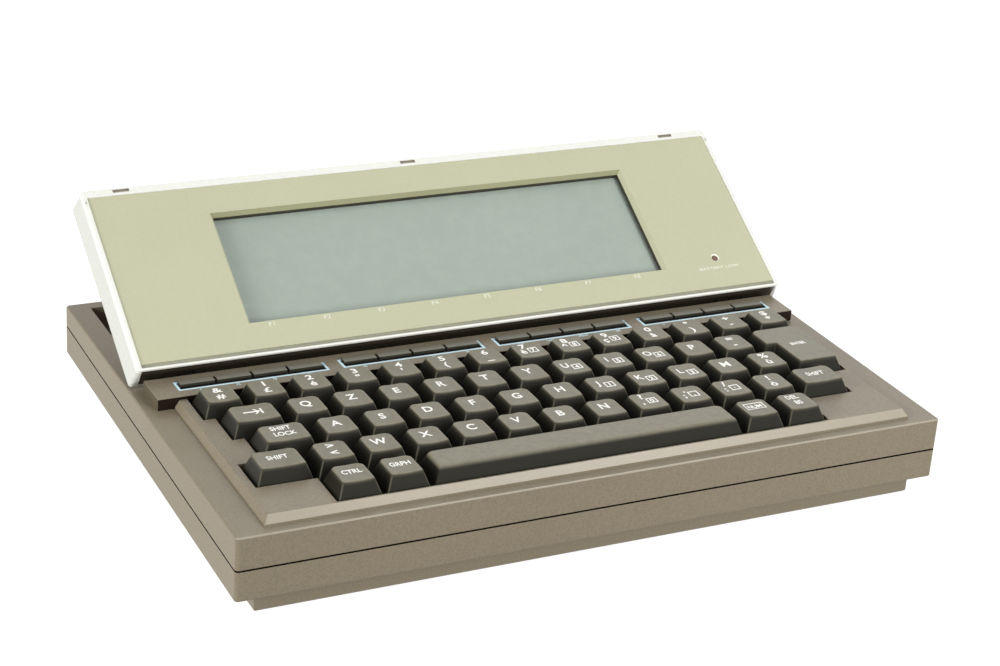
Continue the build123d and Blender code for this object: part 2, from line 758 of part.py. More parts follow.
# Rubber feet
with BuildPart() as rubber_feet:
    with Locations([(x, y, 0) for x, y in foot_spots]):
        Cylinder(foot_diameter / 2, belly_bottom + foot_recess,
                 align=(Align.CENTER, Align.CENTER, Align.MIN))
    chamfer(rubber_feet.faces().filter_by(Plane.XY).group_by(Axis.Z)[0].edges(), foot_chamfer)
rubber_feet.part.label = "rubber_feet"
export_step(rubber_feet.part, "parts/rubber_feet.step")

# Case screws, driven from below through the tray's ledge
with BuildPart() as case_screws:
    for x, y in screw_spots:
        with Locations((x, y, tray_z(y) + fit_gap)):
            Cylinder(screw_head_diameter / 2, screw_head_height,
                     align=(Align.CENTER, Align.CENTER, Align.MIN))
            Cylinder(screw_diameter / 2, join_z(y) + seam_gap / 2 + screw_bite - tray_z(y) - fit_gap,
                     align=(Align.CENTER, Align.CENTER, Align.MIN))
case_screws.part.label = "case_screws"
export_step(case_screws.part, "parts/case_screws.step")

# Battery door with its two tongues
with BuildPart() as battery_door:
    door_right = bay_right + door_overlap
    with BuildSketch(Plane.XY.offset(belly_bottom)):
        with Locations(((door_right - belly_half) / 2, bay_y)):
            Rectangle(door_right + belly_half, 2 * door_half)
    extrude(amount=door_thickness)
    with BuildSketch(Plane.XY.offset(belly_bottom + door_thickness - tongue_height)):
        with Locations(((door_right - belly_half + wall) / 2, bay_y)):
            Rectangle(door_right + belly_half - wall, 2 * (door_half + door_tongue))
    extrude(amount=tongue_height)
    # Grip grooves near the outer end
    with BuildSketch(Plane.XY.offset(belly_bottom)):
        with Locations((grip_inset - belly_half, bay_y)):
            with GridLocations(grip_pitch, 0, grip_count, 1):
                Rectangle(grip_width, grip_length)
    extrude(amount=grip_depth, mode=Mode.SUBTRACT)
battery_door.part.label = "battery_door"
export_step(battery_door.part, "parts/battery_door.step")

# Option cover and its screw
with BuildPart() as option_cover:
    with BuildSketch(Plane.XY.offset(belly_bottom)):
        with Locations((option_x, option_y)):
            Rectangle(option_length, option_width)
    extrude(amount=option_thickness)
    with Locations((option_x, option_boss_y, belly_bottom)):
        Cylinder(screw_head_diameter / 2 + fit_gap, option_thickness, mode=Mode.SUBTRACT)
        Cylinder(screw_diameter / 2 + fit_gap, 3 * option_thickness, mode=Mode.SUBTRACT)
option_cover.part.label = "option_cover"
export_step(option_cover.part, "parts/option_cover.step")

with BuildPart() as option_screw:
    with Locations((option_x, option_boss_y, belly_bottom + screw_head_gap)):
        Cylinder(screw_head_diameter / 2, option_thickness / 2 - screw_head_gap,
                 align=(Align.CENTER, Align.CENTER, Align.MIN))
        Cylinder(screw_diameter / 2, option_thickness + board_lift - screw_head_gap - screw_end_gap,
                 align=(Align.CENTER, Align.CENTER, Align.MIN))
option_screw.part.label = "option_screw"
export_step(option_screw.part, "parts/option_screw.step")

# Power switch: body inside the wall, knob through its slot
power_inner = half_width - wall
with BuildPart() as power_switch_body:
    power_body_x = power_inner - power_base_thickness - 2 * fit_gap - power_body_width / 2
    body_z = tray_z(power_slot_y + power_body_length / 2) + wall + fit_gap
    with BuildSketch(Plane.XY.offset(body_z)):
        with Locations((power_body_x, power_slot_y)):
            Rectangle(power_body_width, power_body_length)
    extrude(amount=2 * (power_z - body_z))
power_switch_body.part.label = "power_switch_body"
export_step(power_switch_body.part, "parts/power_switch_body.step")

with BuildPart() as power_switch_knob:
    with BuildSketch(Plane.YZ.offset(power_inner - fit_gap - power_base_thickness)):
        with Locations((power_y, power_z)):
            Rectangle(power_knob_length + 2 * power_base_lap, power_knob_height + 2 * power_base_rise)
    extrude(amount=power_base_thickness)
    with BuildSketch(Plane.YZ.offset(power_inner - 2 * fit_gap)):
        with Locations((power_y, power_z)):
            Rectangle(power_knob_length, power_knob_height)
    extrude(amount=wall + 2 * fit_gap - control_setback)
    knob_ends = power_switch_knob.faces().sort_by(Axis.X)[-1].edges().filter_by(Axis.Z)
    chamfer(knob_ends, knob_chamfer)
power_switch_knob.part.label = "power_switch_knob"
export_step(power_switch_knob.part, "parts/power_switch_knob.step")

# Contrast wheel on its potentiometer
pot_top = wheel_z - wheel_thickness / 2 - 2 * fit_gap
pot_bottom = tray_z(wheel_y + pot_length / 2) + wall + fit_gap
pot_width = 2 * (half_width - wall - pot_wall_gap - wheel_x)
with BuildPart() as contrast_body:
    with BuildSketch(Plane.XY.offset(pot_bottom)):
        with Locations((wheel_x, wheel_y)):
            Rectangle(pot_width, pot_length)
            Circle(wheel_shaft_diameter / 2 + close_gap, mode=Mode.SUBTRACT)
    extrude(amount=pot_top - pot_bottom)
contrast_body.part.label = "contrast_body"
export_step(contrast_body.part, "parts/contrast_body.step")

with BuildPart() as contrast_wheel:
    with BuildSketch(Plane.XY.offset(wheel_z - wheel_thickness / 2)):
        with Locations((wheel_x, wheel_y)):
            Circle(wheel_diameter / 2)
            with PolarLocations(wheel_diameter / 2, wheel_notch_count):
                Rectangle(2 * wheel_notch_depth, wheel_notch_width, mode=Mode.SUBTRACT)
    extrude(amount=wheel_thickness)
    with BuildSketch(Plane.XY.offset(pot_bottom + wheel_shaft_end_gap)):
        with Locations((wheel_x, wheel_y)):
            Circle(wheel_shaft_diameter / 2)
    extrude(amount=wheel_z - pot_bottom - wheel_shaft_end_gap)
contrast_wheel.part.label = "contrast_wheel"
export_step(contrast_wheel.part, "parts/contrast_wheel.step")

# Reset button in the rear wall, and the switch that it presses
flange_back = back - wall - fit_gap
with BuildPart() as reset_button:
    with BuildSketch(Plane.XZ.offset(-flange_back)):
        with Locations((reset_x, port_z)):
            Circle(reset_flange / 2)
    extrude(amount=reset_flange_thickness)
    with BuildSketch(Plane.XZ.offset(-back + control_setback)):
        with Locations((reset_x, port_z)):
            Circle(reset_diameter / 2)
    extrude(amount=reset_plunger_length)
reset_button.part.label = "reset_button"
export_step(reset_button.part, "parts/reset_button.step")

with BuildPart() as reset_switch:
    plunger_end = back - control_setback - reset_plunger_length
    with BuildSketch(Plane.XY.offset(board_top)):
        with Locations((reset_x, plunger_end - reset_travel - fit_gap - reset_switch_side / 2)):
            Rectangle(reset_switch_side, reset_switch_side)
    extrude(amount=port_z + reset_switch_side / 2 - board_top)
reset_switch.part.label = "reset_switch"
export_step(reset_switch.part, "parts/reset_switch.step")

# Knob of the memory switch in the underside
with BuildPart() as memory_switch_knob:
    with BuildSketch(Plane.XY.offset(belly_bottom + control_setback)):
        with Locations((memory_x, memory_y)):
            Rectangle(memory_knob_length, memory_knob_width)
    extrude(amount=wall)
    with BuildSketch(Plane.XY.offset(belly_floor + fit_gap)):
        with Locations((memory_x, memory_y)):
            Rectangle(memory_knob_length + 2 * memory_base_lap, memory_knob_width + 2 * memory_base_lap)
    extrude(amount=board_lift / 2)
memory_switch_knob.part.label = "memory_switch_knob"
export_step(memory_switch_knob.part, "parts/memory_switch_knob.step")

# D-shaped connectors
for name, x, shell in (("serial_port", serial_x, serial_shell), ("barcode_port", barcode_x, barcode_shell)):
    groove_inset = shell_wall + shell_groove
    with BuildPart() as d_port:
        with BuildSketch(Plane.XZ.offset(-port_back)):
            with Locations((x, port_z)):
                Trapezoid(shell, shell_height, shell_angle, rotation=180)
        extrude(amount=wall + merge)
        with BuildSketch(Plane.XZ.offset(wall - back + fit_gap)):
            with Locations((x, port_z)):
                Rectangle(shell + flange_extra, flange_height)
        extrude(amount=flange_thickness)
        with BuildSketch(Plane.XZ.offset(wall - back + fit_gap + flange_thickness)):
            with Locations((x, (board_top + port_z + flange_height / 2) / 2)):
                Rectangle(shell + 2 * port_body_lap, port_z + flange_height / 2 - board_top)
        extrude(amount=port_body_depth)
        # Groove between the metal shell and its core
        with BuildSketch(Plane.XZ.offset(-port_back)):
            with Locations((x, port_z)):
                Trapezoid(shell - 2 * shell_wall, shell_height - 2 * shell_wall, shell_angle, rotation=180)
                Trapezoid(shell - 2 * groove_inset, shell_height - 2 * groove_inset, shell_angle,
                          rotation=180, mode=Mode.SUBTRACT)
        extrude(amount=shell_groove_depth, mode=Mode.SUBTRACT)
    d_port.part.label = name
    export_step(d_port.part, f"parts/{name}.step")

# Printer connector: a plain box with a key slot
with BuildPart() as printer_port:
    with BuildSketch(Plane.XZ.offset(-port_back)):
        with Locations((printer_x, port_z)):
            Rectangle(printer_width, printer_height)
    extrude(amount=wall + merge)
    with BuildSketch(Plane.XZ.offset(wall - back + fit_gap)):
        with Locations((printer_x, (board_top + port_z + flange_height / 2) / 2)):
            Rectangle(printer_width + 2 * printer_lap, port_z + flange_height / 2 - board_top)
    extrude(amount=port_body_depth)
    with BuildSketch(Plane.XZ.offset(-port_back)):
        with Locations((printer_x, port_z)):
            Rectangle(printer_width - 2 * printer_wall, printer_height - 2 * printer_wall)
    extrude(amount=socket_depth, mode=Mode.SUBTRACT)
    with BuildSketch(Plane.XZ.offset(-port_back)):
        with Locations((printer_x, port_z)):
            Rectangle(printer_width - 2 * tongue_inset, tongue_thickness)
    extrude(amount=socket_depth + merge)
printer_port.part.label = "printer_port"
export_step(printer_port.part, "parts/printer_port.step")

# Round connectors: cassette socket and power inlet, each with its centre key or pin
round_ports = {"cassette_jack": (cassette_x, cassette_diameter, cassette_hollow, cassette_key),
               "power_jack": (jack_x, jack_diameter, jack_hollow, jack_pin)}
for name, (x, diameter, hollow, centre) in round_ports.items():
    with BuildPart() as round_port:
        with BuildSketch(Plane.XZ.offset(-port_back)):
            with Locations((x, port_z)):
                Circle(diameter / 2)
        extrude(amount=wall + merge)
        with BuildSketch(Plane.XZ.offset(wall - back + fit_gap)):
            with Locations((x, (board_top + port_z + diameter / 2) / 2)):
                Rectangle(diameter + 2 * port_body_lap, port_z + diameter / 2 - board_top)
        extrude(amount=port_body_depth)
        with BuildSketch(Plane.XZ.offset(-port_back)):
            with Locations((x, port_z)):
                Circle(hollow / 2)
                Circle(centre / 2, mode=Mode.SUBTRACT)
        extrude(amount=socket_depth, mode=Mode.SUBTRACT)
    round_port.part.label = name
    export_step(round_port.part, f"parts/{name}.step")

# Main board, cut round the battery bay
with BuildPart() as main_board:
    with BuildSketch(Plane.XY.offset(board_z)):
        with BuildLine():
            Polyline((-board_right, board_front), (board_right, board_front), (board_right, board_back),
                     (board_left, board_back), (board_left, bay_y - bay_half - bay_wall - board_bay_gap),
                     (-board_right, bay_y - bay_half - bay_wall - board_bay_gap), close=True)
        make_face()
        with Locations(board_screw_spots):
            Circle(screw_diameter / 2 + fit_gap, mode=Mode.SUBTRACT)
    extrude(amount=board_thickness)
main_board.part.label = "main_board"
export_step(main_board.part, "parts/main_board.step")

with BuildPart() as board_screws:
    with Locations([(x, y, board_top) for x, y in board_screw_spots]):
        Cylinder(screw_head_diameter / 2, board_screw_head, align=(Align.CENTER, Align.CENTER, Align.MIN))
        Cylinder(screw_diameter / 2, board_thickness + board_lift - screw_end_gap,
                 align=(Align.CENTER, Align.CENTER, Align.MAX))
board_screws.part.label = "board_screws"
export_step(board_screws.part, "parts/board_screws.step")

# Packages on the main board: processors, memory modules, logic, and the option socket underneath
with BuildPart() as board_chips:
    memory_pitch = 2 * (board_right - memory_end_margin) / memory_count
    with BuildSketch(Plane.XY.offset(board_top)):
        with Locations([(x, board_front + processor_row) for x in (processor_left_x, processor_right_x)]):
            Rectangle(processor_length, processor_width)
        with Locations((driver_x, board_front + logic_row)):
            with GridLocations(0, logic_row_pitch, 1, logic_row_count):
                Rectangle(driver_length, driver_width)
        with Locations((logic_x, board_front + logic_row)):
            with GridLocations(logic_pitch, logic_row_pitch, 2, logic_row_count):
                Rectangle(logic_length, logic_width)
    extrude(amount=chip_height)
    with BuildSketch(Plane.XY.offset(board_top)):
        with Locations((memory_shift, board_front + memory_row)):
            with GridLocations(memory_pitch, 0, memory_count, 1):
                Rectangle(memory_pitch - memory_gap, memory_width)
    extrude(amount=memory_height)
    with BuildSketch(Plane.XY.offset(board_z)):
        with Locations((option_x, option_y)):
            Rectangle(option_socket_length, option_socket_width)
    extrude(amount=-board_lift)
board_chips.part.label = "board_chips"
export_step(board_chips.part, "parts/board_chips.step")

with BuildPart() as backup_battery:
    backup_radius = (well_z - well_floor - backup_headroom - board_top) / 2
    with BuildSketch(Plane.YZ.offset(board_right - backup_right_inset)):
        with Locations((board_back - backup_back_inset, board_top + backup_radius)):
            Circle(backup_radius)
    extrude(amount=backup_length)
backup_battery.part.label = "backup_battery"
export_step(backup_battery.part, "parts/backup_battery.step")

with BuildPart() as buzzer:
    with Locations((board_right - buzzer_right_inset, board_front + buzzer_row, board_top)):
        Cylinder(buzzer_diameter / 2, buzzer_height, align=(Align.CENTER, Align.CENTER, Align.MIN))
        with Locations((0, 0, buzzer_height)):
            Hole(buzzer_hole / 2, buzzer_height / 4)
buzzer.part.label = "buzzer"
export_step(buzzer.part, "parts/buzzer.step")

# Battery cells, alternately reversed, and their contacts
cell_z = belly_bottom + door_thickness + bay_margin + cell_diameter / 2
cell_left = bay_left + contact_space
cell_ys = [bay_y + (n - (cell_count - 1) / 2) * cell_pitch for n in range(cell_count)]
with BuildPart() as battery_cells:
    for n, y in enumerate(cell_ys):
        turned = n % 2
        with BuildSketch(Plane.YZ.offset(cell_left + turned * cell_nub)):
            with Locations((y, cell_z)):
                Circle(cell_diameter / 2)
        extrude(amount=cell_length - cell_nub)
        with BuildSketch(Plane.YZ.offset(cell_left)):
            with Locations((y, cell_z)):
                Circle(cell_nub_diameter / 2)
        extrude(amount=cell_length if not turned else cell_nub + merge)
battery_cells.part.label = "battery_cells"
export_step(battery_cells.part, "parts/battery_cells.step")

with BuildPart() as battery_contacts:
    for n, y in enumerate(cell_ys):
        spring_side = 1 if n % 2 else -1
        for side, wall_x in ((-1, bay_left), (1, bay_right)):
            with BuildSketch(Plane.YZ.offset(wall_x)):
                with Locations((y, cell_z)):
                    Rectangle(contact_side, contact_side)
            extrude(amount=-side * contact_plate)
            with BuildSketch(Plane.YZ.offset(wall_x - side * contact_plate)):
                with Locations((y, cell_z)):
                    Circle((spring_wide if side == spring_side else button_wide) / 2)
            with BuildSketch(Plane.YZ.offset(wall_x - side * (contact_space - contact_end_gap))):
                with Locations((y, cell_z)):
                    Circle((spring_narrow if side == spring_side else button_narrow) / 2)
            loft()
battery_contacts.part.label = "battery_contacts"
export_step(battery_contacts.part, "parts/battery_contacts.step")

# Places of the key switches, one under the middle of each key
single_spots = [(cell_x(first + n + 0.5), cell_front(row) + key_pitch / 2)
                for row, first, count in single_rows.values() for n in range(count)]
wide_spots = [(cell_x(first + width / 2), cell_front(row) + key_pitch / 2)
              for row, first, width in wide_keys.values()]
space_x = cell_x(space_place[1] + space_place[2] / 2)
space_y = cell_front(space_place[0]) + key_pitch / 2
guide_spots = [(space_x + side * guide_spacing * key_pitch, space_y) for side in (-1, 1)]
switch_spots = single_spots + wide_spots + [(space_x, space_y), enter_stem]
tact_spots = [(x, bar_key_y) for x in bar_key_xs]

# Metal plate that the switches stand in
with BuildPart() as keyboard_plate:
    with BuildSketch(Plane.XY.offset(plate_top)):
        with Locations((0, (plate_front + plate_back) / 2)):
            Rectangle(2 * plate_half, plate_back - plate_front)
        with Locations(switch_spots):
            Rectangle(switch_side + fit_gap, switch_side + fit_gap, mode=Mode.SUBTRACT)
        with Locations(guide_spots):
            Rectangle(guide_side + fit_gap, guide_side + fit_gap, mode=Mode.SUBTRACT)
        with Locations(tact_spots):
            Rectangle(tact_side + 2 * tact_hole_gap, tact_side + 2 * tact_hole_gap, mode=Mode.SUBTRACT)
        with Locations(front_posts + bar_posts):
            Circle(screw_diameter / 2 + fit_gap, mode=Mode.SUBTRACT)
    extrude(amount=-plate_thickness)
keyboard_plate.part.label = "keyboard_plate"
export_step(keyboard_plate.part, "parts/keyboard_plate.step")

# Key switches, and the two plunger guides of the space bar
with BuildPart() as one_switch:
    Box(switch_side, switch_side, switch_depth, align=(Align.CENTER, Align.CENTER, Align.MAX))
    Box(switch_neck, switch_neck, switch_neck_height, align=(Align.CENTER, Align.CENTER, Align.MIN))
    with Locations((0, 0, switch_floor - switch_depth)):
        Box(stem_hole, stem_hole, switch_depth + switch_neck_height,
            align=(Align.CENTER, Align.CENTER, Align.MIN), mode=Mode.SUBTRACT)
with BuildPart() as one_guide:
    Box(guide_side, guide_side, switch_depth, align=(Align.CENTER, Align.CENTER, Align.MAX))
    Box(guide_side, guide_side, switch_neck_height, align=(Align.CENTER, Align.CENTER, Align.MIN))
    with Locations((0, 0, switch_floor - switch_depth)):
        Box(stem_hole, stem_hole, switch_depth + switch_neck_height,
            align=(Align.CENTER, Align.CENTER, Align.MIN), mode=Mode.SUBTRACT)
with BuildPart() as key_switches:
    with Locations([(x, y, plate_top) for x, y in switch_spots]):
        add(one_switch.part)
    with Locations([(x, y, plate_top) for x, y in guide_spots]):
        add(one_guide.part)
key_switches.part.label = "key_switches"
export_step(key_switches.part, "parts/key_switches.step")

# Small switches under the function keys
with BuildPart() as function_switches:
    with Locations([(x, y, key_board_top) for x, y in tact_spots]):
        Box(tact_side, tact_side, tact_height, align=(Align.CENTER, Align.CENTER, Align.MIN))
        Box(tact_side / 2, tact_side / 2, tact_height + tact_plunger,
            align=(Align.CENTER, Align.CENTER, Align.MIN))
function_switches.part.label = "function_switches"
export_step(function_switches.part, "parts/function_switches.step")

with BuildPart() as keyboard_board:
    with BuildSketch(Plane.XY.offset(key_board_top)):
        with Locations((0, (plate_front + plate_back) / 2 + key_board_inset)):
            Rectangle(2 * (plate_half - key_board_inset), plate_back - plate_front - 2 * key_board_inset)
    extrude(amount=-board_thickness)
keyboard_board.part.label = "keyboard_board"
export_step(keyboard_board.part, "parts/keyboard_board.step")


def cap_outline(width, share, inset, front_corner, back_corner):
    """Outline of a keycap at a share of its height, with its cell's front left corner at the origin."""
    left = cap_gap / 2 + share * cap_side_slope + inset
    right = width - left
    near = cap_gap / 2 + share * cap_front_slope + inset
    far = key_pitch - cap_gap / 2 - share * cap_back_slope - inset
    return [(left, near + front_corner), (left + front_corner, near), (right - front_corner, near),
            (right, near + front_corner), (right, far - back_corner), (right - back_corner, far),
            (left + back_corner, far), (left, far - back_corner)]


def keycap(units, stems, dished):
    """One hollow keycap on the XY plane, with a stem at each given place in key pitches."""
    width = units * key_pitch
    hollow = cap_height - cap_roof
    share = hollow / cap_height
    with BuildPart() as cap:
        with BuildSketch(Plane.XY):
            with BuildLine():
                Polyline(cap_outline(width, 0, 0, cap_front_corner / 2, cap_back_corner / 2), close=True)
            make_face()
        with BuildSketch(Plane.XY.offset(cap_height)):
            with BuildLine():
                Polyline(cap_outline(width, 1, 0, cap_front_corner, cap_back_corner), close=True)
            make_face()
        loft(ruled=True)
        with BuildSketch(Plane.XY):
            with Locations((width / 2, key_pitch / 2)):
                Rectangle(width - cap_gap - 2 * cap_wall, key_pitch - cap_gap - 2 * cap_wall)
        with BuildSketch(Plane.XY.offset(hollow)):
            with Locations((width / 2, key_pitch / 2 + share * (cap_front_slope - cap_back_slope) / 2)):
                Rectangle(width - cap_gap - 2 * (cap_wall + share * cap_side_slope),
                          key_pitch - cap_gap - 2 * cap_wall - share * (cap_front_slope + cap_back_slope))
        loft(ruled=True, mode=Mode.SUBTRACT)
        with Locations([(place * key_pitch, key_pitch / 2, -stem_reach) for place in stems]):
            Box(stem_side, stem_side, stem_reach + hollow + merge,
                align=(Align.CENTER, Align.CENTER, Align.MIN))
        if dished:
            top_half = (width - cap_gap) / 2 - cap_side_slope
            dish_radius = (top_half ** 2 + dish_depth ** 2) / (2 * dish_depth)
            with Locations((width / 2, key_pitch / 2, cap_height - dish_depth + dish_radius)):
                Cylinder(dish_radius, key_pitch, rotation=(90, 0, 0), mode=Mode.SUBTRACT)
        else:
            crest = cap.faces().sort_by(Axis.Z)[-1].edges().filter_by(Axis.X)
            chamfer(crest, cap_front_corner)
    return cap.part


# Rows of single keys
single_cap = keycap(1, [0.5], True)
for name, (row, first, count) in single_rows.items():
    with BuildPart() as key_row:
        with Locations([(cell_x(first + n), cell_front(row), cap_base) for n in range(count)]):
            add(single_cap)
    key_row.part.label = name
    export_step(key_row.part, f"parts/{name}.step")

# Keys that stand by themselves
for name, (row, first, units) in wide_keys.items():
    wide_cap = keycap(units, [units / 2], True)
    with BuildPart() as wide_key:
        with Locations((cell_x(first), cell_front(row), cap_base)):
            add(wide_cap)
    wide_key.part.label = name
    export_step(wide_key.part, f"parts/{name}.step")

space_units = space_place[2]
space_cap = keycap(space_units, [space_units / 2 + n * guide_spacing for n in (-1, 0, 1)], False)
with BuildPart() as space_bar:
    with Locations((cell_x(space_place[1]), cell_front(space_place[0]), cap_base)):
        add(space_cap)
space_bar.part.label = "space_bar"
export_step(space_bar.part, "parts/space_bar.step")


def enter_outline(share, inset):
    """Outline of the two-row enter key at a share of its height."""
    side = cap_gap / 2 + share * cap_side_slope + inset
    near = cap_gap / 2 + share * cap_front_slope + inset
    far = cell_front(0) - cap_gap / 2 - share * cap_back_slope - inset
    right = row_end - side
    return [(cell_x(enter_lower) + side, cell_front(2) + near), (right, cell_front(2) + near), (right, far),
            (cell_x(enter_upper) + side, far), (cell_x(enter_upper) + side, cell_front(1) + near),
            (cell_x(enter_lower) + side, cell_front(1) + near)]


with BuildPart() as key_enter:
    hollow_share = (cap_height - cap_roof) / cap_height
    with BuildSketch(Plane.XY.offset(cap_base)):
        with BuildLine():
            Polyline(enter_outline(0, 0), close=True)
        make_face()
    with BuildSketch(Plane.XY.offset(cap_base + cap_height)):
        with BuildLine():
            Polyline(enter_outline(1, 0), close=True)
        make_face()
    loft(ruled=True)
    with BuildSketch(Plane.XY.offset(cap_base)):
        with BuildLine():
            Polyline(enter_outline(0, cap_wall), close=True)
        make_face()
    with BuildSketch(Plane.XY.offset(cap_base + cap_height - cap_roof)):
        with BuildLine():
            Polyline(enter_outline(hollow_share, cap_wall), close=True)
        make_face()
    loft(ruled=True, mode=Mode.SUBTRACT)
    with Locations((*enter_stem, cap_base - stem_reach)):
        Box(stem_side, stem_side, stem_reach + cap_height - cap_roof + merge,
            align=(Align.CENTER, Align.CENTER, Align.MIN))
key_enter.part.label = "key_enter"
export_step(key_enter.part, "parts/key_enter.step")

# Function keys, four to a bank, each held under the roof of the bar by its flange
flange_top = deck_height + bar_rise - wall - fit_gap
stem_end = key_board_top + tact_height + tact_plunger + fit_gap + bar_key_travel
for bank, bank_x in enumerate(bank_xs):
    with BuildPart() as function_bank:
        keys = [(bank_x + step, bar_key_y) for step in bar_key_steps]
        with BuildSketch(Plane.XY.offset(flange_top - bar_key_flange)):
            with Locations(keys):
                Rectangle(bar_key_width, slot_back - slot_front + 2 * bar_key_flange_lap)
        extrude(amount=bar_key_flange)
        with BuildSketch(Plane.XY.offset(flange_top)):
            with Locations(keys):
                Rectangle(bar_key_width, bar_key_depth)
        extrude(amount=deck_height + bar_rise + bar_key_rise - flange_top)
        key_tops = function_bank.faces().filter_by(Plane.XY).group_by(Axis.Z)[-1]
        chamfer([edge for key_top in key_tops for edge in key_top.edges()], bar_key_chamfer)
        with BuildSketch(Plane.XY.offset(stem_end)):
            with Locations(keys):
                Rectangle(bar_stem_side, bar_stem_side)
        extrude(amount=flange_top - stem_end)
    function_bank.part.label = f"function_keys_{bank + 1}"
    export_step(function_bank.part, f"parts/function_keys_{bank + 1}.step")

# Screws that hold the keyboard plate to its posts
with BuildPart() as keyboard_screws:
    with Locations([(x, y, plate_top - plate_thickness) for x, y in front_posts + bar_posts]):
        Cylinder(screw_head_diameter / 2, board_screw_head, align=(Align.CENTER, Align.CENTER, Align.MAX))
keyboard_screws.part.label = "keyboard_screws"
export_step(keyboard_screws.part, "parts/keyboard_screws.step")

# Front frame of the display unit: the pale rim
face_middle = face_height / 2
unit_middle = (face_height + rim_top - rim_bottom) / 2
unit_length = face_height + rim_top + rim_bottom
face_back = face_recess + face_thickness
snap_v = face_height + rim_top / 2 + snap_rise
snap_spots = [(snap_shift + n * snap_x, snap_v) for n in (-1, 0, 1)]
notch_spots = [(side * (face_half + rim_side / 2), face_height - notch_drop) for side in (-1, 1)]
trim_half = unit_half - trim_end_inset
trim_back = trim_front + trim_width
with BuildPart() as display_frame:
    with BuildSketch(face_plane.offset(-frame_depth)):
        with Locations((0, unit_middle)):
            RectangleRounded(2 * unit_half, unit_length, cover_corner)
    extrude(amount=frame_depth)
    fillet(display_frame.faces().sort_by(face_axis)[-1].edges(), rim_radius)
    with BuildSketch(face_plane.offset(-face_back)):
        with Locations((0, face_middle)):
            Rectangle(2 * face_half, face_height)
    extrude(amount=face_back, mode=Mode.SUBTRACT)
    with BuildSketch(face_plane.offset(-frame_depth)):
        with Locations((0, face_middle)):
            Rectangle(2 * (face_half - ledge_width), face_height - 2 * ledge_width)
    extrude(amount=frame_depth, mode=Mode.SUBTRACT)
    with BuildSketch(face_plane):
        with Locations(snap_spots):
            Rectangle(snap_length, snap_height)
    extrude(amount=-frame_depth, mode=Mode.SUBTRACT)
    # Shadow groove under the face, and the notches beside its upper corners
    with BuildSketch(face_plane):
        with Locations((0, -groove_width / 2)):
            Rectangle(2 * face_half, groove_width)
    extrude(amount=-groove_depth, mode=Mode.SUBTRACT)
    with BuildSketch(face_plane):
        with Locations(notch_spots):
            Rectangle(rim_side / 2, notch_length)
    extrude(amount=-notch_depth, mode=Mode.SUBTRACT)
    # Recess that takes the edge of the hinge cover
    with BuildSketch(face_plane.offset(-frame_depth)):
        with Locations((0, -rim_bottom)):
            Rectangle(2 * (trim_half + fit_gap), 2 * (trim_thickness + close_gap))
    extrude(amount=frame_depth - trim_front + fit_gap, mode=Mode.SUBTRACT)
display_frame.part.label = "display_frame"
export_step(display_frame.part, "parts/display_frame.step")

# Green face with the sloping surround of the window
window_back = face_recess + window_depth
with BuildPart() as display_face:
    with BuildSketch(face_plane.offset(-face_back)):
        with Locations((0, face_middle)):
            Rectangle(2 * face_half - fit_gap, face_height - fit_gap)
    extrude(amount=face_thickness)
    with BuildSketch(face_plane.offset(-window_back)):
        with Locations((0, window_v)):
            Rectangle(window_width + 2 * surround_width, window_height + 2 * surround_width)
    extrude(amount=window_depth - face_thickness)
    with BuildSketch(face_plane.offset(-face_recess)):
        with Locations((0, window_v)):
            Rectangle(window_width, window_height)
    with BuildSketch(face_plane.offset(-window_back)):
        with Locations((0, window_v)):
            Rectangle(window_width - 2 * window_slope, window_height - 2 * window_slope)
    loft(ruled=True, mode=Mode.SUBTRACT)
    with BuildSketch(face_plane):
        with Locations((lamp_x, lamp_v)):
            Circle(lamp_lens_diameter / 2 + close_gap)
    extrude(amount=-face_back, mode=Mode.SUBTRACT)
    with BuildSketch(face_plane.offset(-face_recess)):
        with Locations((lamp_x, lamp_v)):
            Circle(lamp_lens_diameter / 2 + close_gap + lamp_hole_chamfer)
    with BuildSketch(face_plane.offset(-face_recess - lamp_hole_chamfer)):
        with Locations((lamp_x, lamp_v)):
            Circle(lamp_lens_diameter / 2 + close_gap)
    loft(mode=Mode.SUBTRACT)
    # Bosses for the screws of the rear cover
    boss_end = cover_back - cover_wall - fit_gap / 2
    with BuildSketch(face_plane.offset(-boss_end)):
        with Locations(unit_screw_spots):
            Circle(unit_boss_diameter / 2)
    extrude(amount=boss_end - face_back)
    with BuildSketch(face_plane.offset(-boss_end)):
        with Locations(unit_screw_spots):
            Circle(screw_diameter / 2 + close_gap)
    extrude(amount=screw_bite, mode=Mode.SUBTRACT)
display_face.part.label = "display_face"
export_step(display_face.part, "parts/display_face.step")

# Liquid-crystal glass, its metal frame, and the driver board behind
glass_width = window_width - 2 * window_slope + 2 * glass_margin
glass_height = window_height - 2 * window_slope + 2 * glass_margin
glass_back = window_back + glass_lip + glass_thickness
with BuildPart() as lcd_glass:
    with BuildSketch(face_plane.offset(-glass_back)):
        with Locations((0, window_v)):
            Rectangle(glass_width, glass_height)
    extrude(amount=glass_thickness)
lcd_glass.part.label = "lcd_glass"
export_step(lcd_glass.part, "parts/lcd_glass.step")

with BuildPart() as lcd_frame:
    with BuildSketch(face_plane.offset(-glass_back - glass_frame_back)):
        with Locations((0, window_v)):
            Rectangle(glass_width + 2 * glass_frame_width, glass_height + 2 * glass_frame_width)
            Rectangle(glass_width - 2 * glass_margin, glass_height - 2 * glass_margin, mode=Mode.SUBTRACT)
    extrude(amount=glass_lip + glass_thickness + glass_frame_back)
    with BuildSketch(face_plane.offset(-glass_back)):
        with Locations((0, window_v)):
            Rectangle(glass_width + fit_gap, glass_height + fit_gap)
    extrude(amount=glass_thickness, mode=Mode.SUBTRACT)
lcd_frame.part.label = "lcd_frame"
export_step(lcd_frame.part, "parts/lcd_frame.step")

